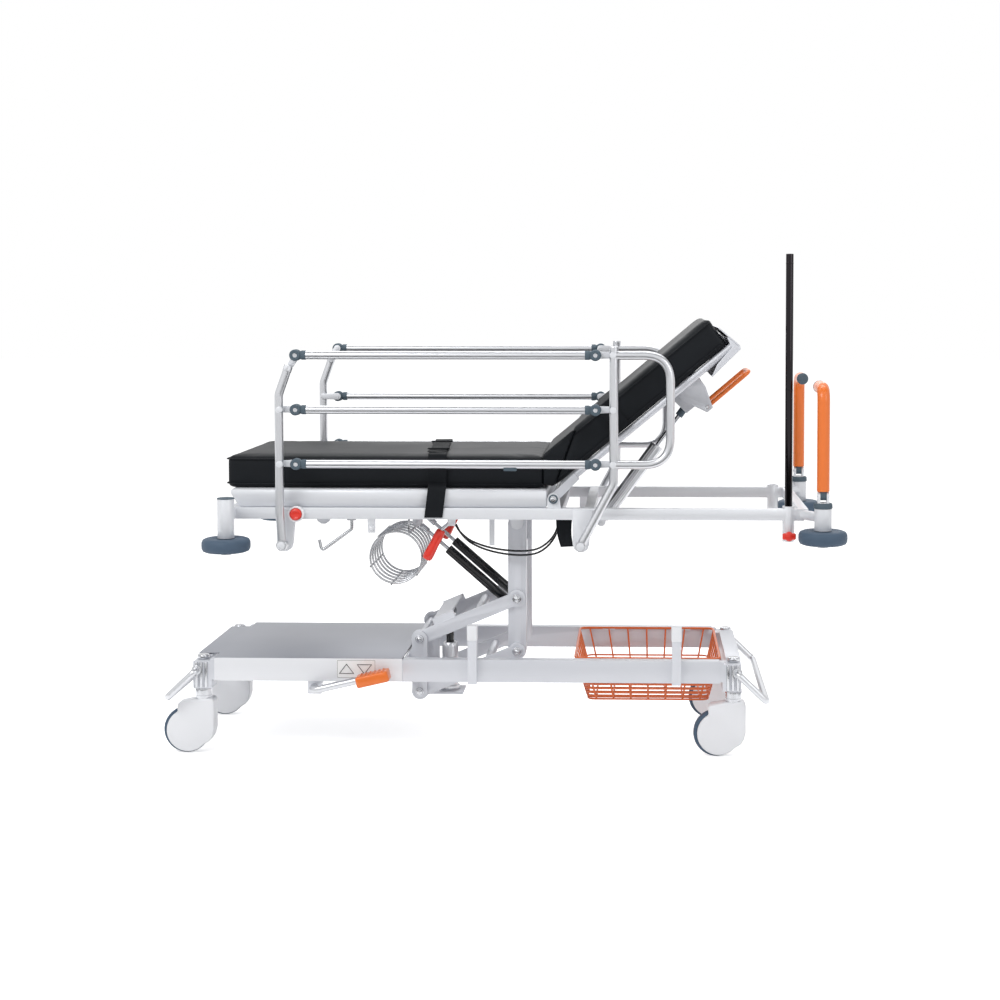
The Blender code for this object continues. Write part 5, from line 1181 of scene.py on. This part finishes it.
@dataclass
class Backrest:
    """The backrest's frame, its release handle and the gas spring behind it."""

    handle: tuple[float, float] = (0.4664, -0.0833)
    handle_reach: float = 0.150
    handle_half: float = 0.083
    prop_y: float = -0.045
    prop_foot: tuple[float, float] = (0.262, 0.610)
    prop_head: tuple[float, float] = (0.4274, -0.0458)
    body_length: float = 0.235

    def release(self) -> None:
        """The orange U grip on its cross rod."""
        u, n, y = *self.handle, self.handle_half
        path = corners([leaned(u, n, -y), leaned(u + self.handle_reach, n + 0.002, -y),
                        leaned(u + self.handle_reach, n + 0.002, y), leaned(u, n, y)], 0.024, 8)
        piece("release_handle_made", [tube(path, 0.0060, 6)], Look.ORANGE, "release_handle",
              ("backrest_release_handle",))
        rod = bar(leaned(u, n, -0.0990), leaned(u, n, 0.0990), 0.0049, 24, 0.0008)
        piece("release_handle_rod", [rod], Look.CHROME, "release_handle")

    def prop(self) -> None:
        """The gas spring in its ridged sleeve."""
        foot = at(self.prop_foot[0], self.prop_y, self.prop_foot[1])
        head = leaned(*self.prop_head, self.prop_y)
        run = (head - foot).normalized()
        barrel = bar(foot + run * 0.010, foot + run * self.body_length, 0.0138, 40, 0.002)
        shell = bar(foot + run * 0.030, foot + run * 0.262, 0.0178, 40, 0.002)
        across = run.cross(Vector(ACROSS)).normalized()
        ridges = [bar(foot + shift + run * 0.036, foot + shift + run * 0.256, 0.0022, 16, 0.0008)
                  for shift in (across * 0.0105 + Vector((0, -0.0138, 0)), Vector((0, -0.0174, 0)),
                                across * -0.0105 + Vector((0, -0.0138, 0)))]
        eye = bar(foot - Vector((0, 0.014, 0)), foot + Vector((0, 0.014, 0)), 0.0120, 32, 0.001)
        piece("back_prop_cylinder_made", [barrel, shell, *ridges, eye], Look.TUBE, "prop_cylinder",
              ("back_prop_cylinder",))
        rod = bar(foot + run * 0.160, head - run * 0.008, 0.0058, 24)
        piece("back_prop_rod_made", [rod], Look.CHROME, "prop_rod", ("back_prop_rod",))
        sleeve = bar(head - run * 0.038, head - run * 0.006, 0.0105, 32, 0.0015)
        fitting = bar(head - Vector((0, 0.019, 0)), head + Vector((0, 0.019, 0)), 0.0120, 32, 0.0012)
        piece("back_prop_rod_fitting", [sleeve, fitting], Look.BLUE_GREY, "prop_rod")

    def build(self) -> None:
        """Every piece of the backrest."""
        dressed("backrest_frame", Look.PAINT, "backrest", 0.0008)
        cheek = [(0.530, -0.0175), (0.6320, -0.0085), (0.6345, -0.0040), (0.6340, 0.0020), (0.6285, 0.0360),
                 (0.6255, 0.0360), (0.6180, 0.0080), (0.5600, -0.0020)]
        cheeks = [plate(leaned_outline(cheek), side * 0.2310, side * 0.2358, 0.0010, 2) for _, side in SIDES]
        piece("head_plate_cheeks", cheeks, Look.PAINT, "backrest")
        self.release()
        self.prop()


@dataclass
class SideRails:
    """The folding rails: posts, hoops and three level tubes on each side."""

    y: float = 0.315
    tube_radius: float = 0.0110
    post_radius: float = 0.0115
    foot: tuple[float, float] = (-0.572, 0.579)
    head: tuple[float, float] = (0.213, 0.579)
    knuckle_x: float = 0.039
    heights: tuple[float, float, float] = (0.500, 0.357, 0.214)
    eye_half: float = 0.013

    def pivot_boss(self, pivot: tuple[float, float], side: int) -> bpy.types.Object:
        """The bored boss that a post turns on."""
        half = 0.0138
        profile = [(0.0078, -half), (0.0130, -half), (0.0143, -half + 0.0012), (0.0143, half - 0.0012),
                   (0.0130, half), (0.0078, half)]
        return turned(profile, at(pivot[0], side * self.y, pivot[1]), ACROSS, 40, ring=True)

    def lugs(self, name: str, body: str, pivot: tuple[float, float], starts: Sequence[tuple[float, float]],
             side: int) -> None:
        """The tabs behind the knuckles, with their clamps on the post.

        Args:
            name: The piece's name.
            body: The body that they ride on.
            pivot: The post's pivot.
            starts: Where each tab leaves the post.
            side: +1 for the far side, -1 for the near side.
        """
        parts = []
        inner = side * (self.y - self.eye_half - 0.0004)
        for start, height in zip(starts, self.heights):
            end = (pivot[0] + self.knuckle_x, pivot[1] + height)
            run = Vector((end[0] - start[0], end[1] - start[1]))
            turn = math.degrees(math.atan2(run.y, run.x))
            outline = [*arc((start[0] + MIDDLE, start[1]), 0.0082, turn + 90, turn + 270, 10),
                       *arc((end[0] + MIDDLE, end[1]), 0.0100, turn - 90, turn + 90, 14)]
            parts.append(plate(outline, inner, inner - side * 0.0036, 0.0008))
            parts.append(bar(at(end[0], side * (self.y - self.eye_half - 0.006), end[1]),
                             at(end[0], side * (self.y + self.eye_half - 0.003), end[1]), 0.0038, 24))
            parts.append(bar(at(start[0], side * (self.y - 0.0155), start[1]),
                             at(start[0], side * (self.y + 0.0118), start[1]), 0.0092, 32, 0.002))
        piece(name, parts, Look.PALE, body)

    def foot_post(self, side_name: str, side: int) -> None:
        """The bent post at the foot end."""
        x, z, y = self.foot[0], self.foot[1], side * self.y
        tip_x, tip_z = x + 0.019, z + self.heights[0] - 0.033
        path = corners([at(x, y, z), at(x - 0.006, y, z + 0.08), at(x - 0.006, y, tip_z - 0.070),
                        at(tip_x + 0.002, y, tip_z + 0.006)], 0.045, 8)
        run = (path[-1] - path[-2]).normalized()
        collar = bar(path[-1] - run * 0.016, path[-1] - run * 0.001, 0.0121, 32, 0.0008)
        piece(f"foot_post_{side_name}_made", [tube(path, self.post_radius, 8), self.pivot_boss(self.foot, side),
              collar], Look.TUBE, f"rail_post_{side_name}", (f"foot_post_{side_name}",))
        starts = [(tip_x, tip_z)] + [(x - 0.004, z + h) for h in self.heights[1:]]
        self.lugs(f"foot_post_lugs_{side_name}", f"rail_post_{side_name}", self.foot, starts, side)

    def hoop(self, side_name: str, side: int) -> None:
        """The post at the head end with its D-shaped guard."""
        x, y = self.head[0] + 0.087, side * self.y
        high, low = self.head[1] + self.heights[0], self.head[1] + self.heights[2]
        end_x = self.head[0] + 0.2345
        post = corners([at(self.head[0], y, self.head[1]), at(x, y, self.head[1] + 0.163), at(x, y, high + 0.020)],
                       0.040, 8)
        guard = corners([at(x, y, high), at(end_x, y, high), at(end_x, y, low), at(x, y, low)], 0.070, 14)
        cap = turned([(0, 0.0), (0.0112, 0.0), (0.0118, 0.0012), (0.0112, 0.0032), (0, 0.0038)],
                     at(x, y, high + 0.0196), UP, 32)
        piece(f"head_hoop_{side_name}_made", [tube(post, self.post_radius, 8), tube(guard, self.post_radius, 8),
              self.pivot_boss(self.head, side), cap], Look.TUBE, f"rail_hoop_{side_name}",
              (f"head_hoop_{side_name}",))
        self.lugs(f"head_hoop_lugs_{side_name}", f"rail_hoop_{side_name}", self.head,
                  [(x - 0.002, self.head[1] + h) for h in self.heights], side)

    def rail(self, label: str, height: float, side_name: str, side: int) -> None:
        """One level tube with a moulded knuckle at each end.

        Args:
            label: Its level.
            height: Its height over the posts' pivots.
            side_name: Its side.
            side: +1 for the far side, -1 for the near side.
        """
        y, z, body = side * self.y, self.foot[1] + height, f"{label}_rail_{side_name}"
        x0, x1 = self.foot[0] + self.knuckle_x, self.head[0] + self.knuckle_x
        pipe = bar(at(x0 + 0.020, y, z), at(x1 - 0.020, y, z), self.tube_radius, 40)
        piece(f"{label}_rail_{side_name}_made", [pipe], Look.TUBE, body, (f"{label}_rail_{side_name}",))
        knuckles, screws = [], []
        for x, away in ((x0, 1), (x1, -1)):
            eye = turned([(0.0044, -self.eye_half), (0.0122, -self.eye_half), (0.0149, -0.0100), (0.0150, 0.0100),
                          (0.0122, self.eye_half), (0.0044, self.eye_half)], at(x, y, z), ACROSS, 40, ring=True)
            socket = turned([(0.0090, 0.006), (0.0112, 0.0145), (0.0122, 0.0165), (0.0122, 0.0262), (0.0117, 0.0272),
                             (0.0090, 0.0272)], at(x, y, z), (away, 0, 0), 32, ring=True)
            knuckles += [eye, socket]
            face = side * (self.y + self.eye_half)
            screws.append(turned([(0, 0.0010), (0.0052, 0.0008), (0.0060, 0.0), (0.0060, -0.0020), (0, -0.0020)],
                                 at(x, face, z), (0, side, 0), 24))
        piece(f"{label}_rail_{side_name}_knuckles", knuckles, Look.BLUE_GREY, body)
        piece(f"{label}_rail_{side_name}_screws", screws, Look.CHROME, body)

    def clip(self) -> None:
        """The small stop below the near bottom rail."""
        y, z = -self.y, self.foot[1] + self.heights[2]
        lip = block(at(0.012, y - 0.0095, z - 0.0165), at(0.046, y + 0.0095, z - 0.0075), 0.002, 3)
        piece("low_rail_near_clip", [lip], Look.BLUE_GREY, "low_rail_near")

    def build(self) -> None:
        """Both sides."""
        for side_name, side in SIDES:
            self.foot_post(side_name, side)
            self.hoop(side_name, side)
            for label, height in zip(("top", "middle", "low"), self.heights):
                self.rail(label, height, side_name, side)
        self.clip()


@dataclass
class HeadEnd:
    """The folding push handles and the infusion pole."""

    x: float = 0.843
    y: float = 0.335
    pivot_z: float = 0.715
    top: float = 1.010
    radius: float = 0.0165
    grip: float = 0.110
    pole: tuple[float, float, float, float] = (0.760, -0.2625, 0.600, 1.344)
    knob_z: float = 0.603

    def push_handle(self, side_name: str, side: int) -> None:
        """An orange handle with a grey boot and end cap."""
        y, high = side * self.y, self.top - self.radius
        low = self.pivot_z + 0.0128
        path = corners([at(self.x, y, low), at(self.x, y, high), at(self.x, y - side * (self.grip - 0.004), high)],
                       0.036, 12)
        piece(f"push_handle_{side_name}_made", [tube(path, self.radius, 8)], Look.ORANGE,
              f"push_handle_{side_name}", (f"push_handle_{side_name}",))
        tongue = block(at(self.x - 0.0078, y - 0.0108, self.pivot_z), at(self.x + 0.0078, y + 0.0108, low + 0.004),
                       0.001)
        nose = bar(at(self.x - 0.0078, y, self.pivot_z), at(self.x + 0.0078, y, self.pivot_z), 0.0108, 32)
        piece(f"push_handle_{side_name}_tongue", [tongue, nose], Look.BLUE_GREY, f"push_handle_{side_name}")
        end = bar(at(self.x, y - side * (self.grip - 0.010), high), at(self.x, y - side * self.grip, high),
                  self.radius + 0.0004, 40, 0.004)
        piece(f"push_handle_{side_name}_cap", [end], Look.BLUE_GREY, f"push_handle_{side_name}")

    def infusion(self) -> None:
        """The pole, its tip and its clamp knob."""
        x, y, low, high = self.pole
        rod = bar(at(x, y, low), at(x, y, high), 0.0100, 48, 0.0015)
        lines = [bar(at(x, y, z), at(x, y, z + 0.003), 0.01035, 48, 0.0004) for z in (0.985, 1.318)]
        piece("infusion_pole_made", [rod, *lines], Look.POLE, "infusion_pole", ("infusion_pole",))
        face = y - 0.016
        hub = turned([(0, 0.016), (0.0098, 0.016), (0.0122, 0.0140), (0.0125, 0.0060), (0.0110, 0.0004), (0, 0.0004)],
                     at(x, face, self.knob_z), (0, -1, 0), 40)
        wings = block(at(x - 0.0178, face - 0.0155, self.knob_z - 0.0088),
                      at(x + 0.0178, face - 0.0065, self.knob_z + 0.0088), 0.0042, 4)
        screw = bar(at(x, face - 0.001, self.knob_z), at(x, y - 0.0110, self.knob_z), 0.0029, 16)
        piece("pole_knob_made", [hub, wings, screw], Look.RED, "pole_knob", ("pole_knob",))

    def build(self) -> None:
        """Handles, pole and knob."""
        for side_name, side in SIDES:
            self.push_handle(side_name, side)
        self.infusion()


@dataclass
class Studio:
    """Floor, light and camera."""

    camera_place: tuple[float, float, float] = (0.3673, -4.7184, 1.2219)
    yaw: float = -0.02802
    pitch: float = -0.04699
    lens: float = 60.93
    shift: tuple[float, float] = (-0.09, -0.12)
    floor_size: float = 60.0
    floor_glow: float = 0.62
    sky: tuple[float, float] = (0.22, 0.58)
    cards: tuple[tuple[str, Point, Point], ...] = (
        ("dark_card_floor", (0.0, -2.3, 0.03), (9.0, 2.6)),
        ("dark_card_top", (0.0, -0.9, 3.6), (9.0, 1.7)),
    )
    lights: tuple[tuple[Point, Point, Point, float], ...] = (
        ((-2.2, -3.2, 3.4), (-0.1, 0.0, 0.6), (2.6, 1.2), 82.0),
        ((2.8, -2.6, 2.2), (0.2, 0.0, 0.6), (1.0, 2.2), 22.0),
        ((0.2, 0.6, 3.8), (0.0, 0.0, 0.5), (3.2, 1.4), 56.0),
        ((0.4, 3.4, 2.4), (0.0, 0.0, 0.7), (2.6, 1.0), 18.0),
    )

    def sheet(self, name: str, grey: float, rough: float) -> Graph:
        """Gives the plane that was just added a plain material of its own.

        Args:
            name: The name of the plane and of its material.
            grey: Its brightness.
            rough: Its roughness.

        Returns:
            The material's nodes.
        """
        item = bpy.context.object
        item.name = name
        material = bpy.data.materials.new(name)
        item.data.materials.append(material)
        graph = Graph(material)
        graph.feed("Base Color", (grey, grey, grey, 1.0))
        graph.feed("Roughness", rough)
        return graph

    def floor(self) -> None:
        """A plain floor that is white where it is seen and keeps the object's shadow."""
        nothing()
        bpy.ops.mesh.primitive_plane_add(size=self.floor_size)
        graph = self.sheet("studio_floor", 0.90, 0.9)
        graph.feed("Specular IOR Level", 0.0)
        graph.feed("Emission Color", (self.floor_glow, self.floor_glow, self.floor_glow, 1.0))
        graph.feed("Emission Strength", graph.seen())

    def flags(self) -> None:
        """Dark cards that only mirrors see, for the dark streaks along bright tubes."""
        for name, place, size in self.cards:
            nothing()
            bpy.ops.mesh.primitive_plane_add(size=1.0, location=place)
            self.sheet(name, 0.02, 1.0)
            card = bpy.context.object
            card.scale = (*size, 1.0)
            for kind in ("camera", "diffuse", "transmission", "shadow"):
                setattr(card, "visible_" + kind, False)
            settle(card)

    def world(self) -> None:
        """White where it is seen; as light, brighter overhead than near the floor."""
        world = bpy.data.worlds.new("studio_world")
        bpy.context.scene.world = world
        graph = Graph(world, "Background")
        split = graph.add("ShaderNodeSeparateXYZ", {}, {0: graph.place["Generated"]})
        ramp = graph.add("ShaderNodeMapRange", {}, {"Value": split.outputs["Z"], "From Min": -0.25, "From Max": 0.55,
                                                    "To Min": self.sky[0], "To Max": self.sky[1]})
        light = graph.add("ShaderNodeMix", {}, {"Factor": graph.seen(), "A": ramp.outputs["Result"], "B": 1.0})
        graph.feed("Color", (1.0, 1.0, 1.0, 1.0))
        graph.feed("Strength", light.outputs["Result"])

    def lamp(self, place: Point, target: Point, size: Point, power: float) -> None:
        """One soft rectangular light."""
        nothing()
        bpy.ops.object.light_add(type="AREA", location=place)
        item = bpy.context.object
        item.data.shape = "RECTANGLE"
        item.data.size, item.data.size_y = size
        item.data.energy = power
        item.rotation_euler = (Vector(target) - Vector(place)).to_track_quat("-Z", "Y").to_euler()

    def camera(self) -> None:
        """The camera at the photograph's angle."""
        nothing()
        bpy.ops.object.camera_add(location=self.camera_place)
        item = bpy.context.object
        forward = Vector((math.sin(self.yaw) * math.cos(self.pitch), math.cos(self.yaw) * math.cos(self.pitch),
                          math.sin(self.pitch)))
        item.rotation_euler = forward.to_track_quat("-Z", "Y").to_euler()
        item.data.lens = self.lens
        item.data.sensor_width = 36.0
        item.data.shift_x, item.data.shift_y = self.shift
        bpy.context.scene.camera = item

    def build(self) -> None:
        """The whole studio."""
        self.floor()
        self.flags()
        self.world()
        for place, target, size, power in self.lights:
            self.lamp(place, target, size, power)
        self.camera()
        bpy.context.scene.view_settings.view_transform = "Standard"


def main() -> None:
    """Builds every assembly, then the studio."""
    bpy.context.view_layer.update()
    for assembly in (BaseFrame(), Castors(), Pedals(), Lift(), Platform(), Mattresses(), Backrest(), SideRails(),
                     HeadEnd(), Studio()):
        assembly.build()
        log.info("%s built", type(assembly).__name__)


if __name__ == "__main__":
    main()
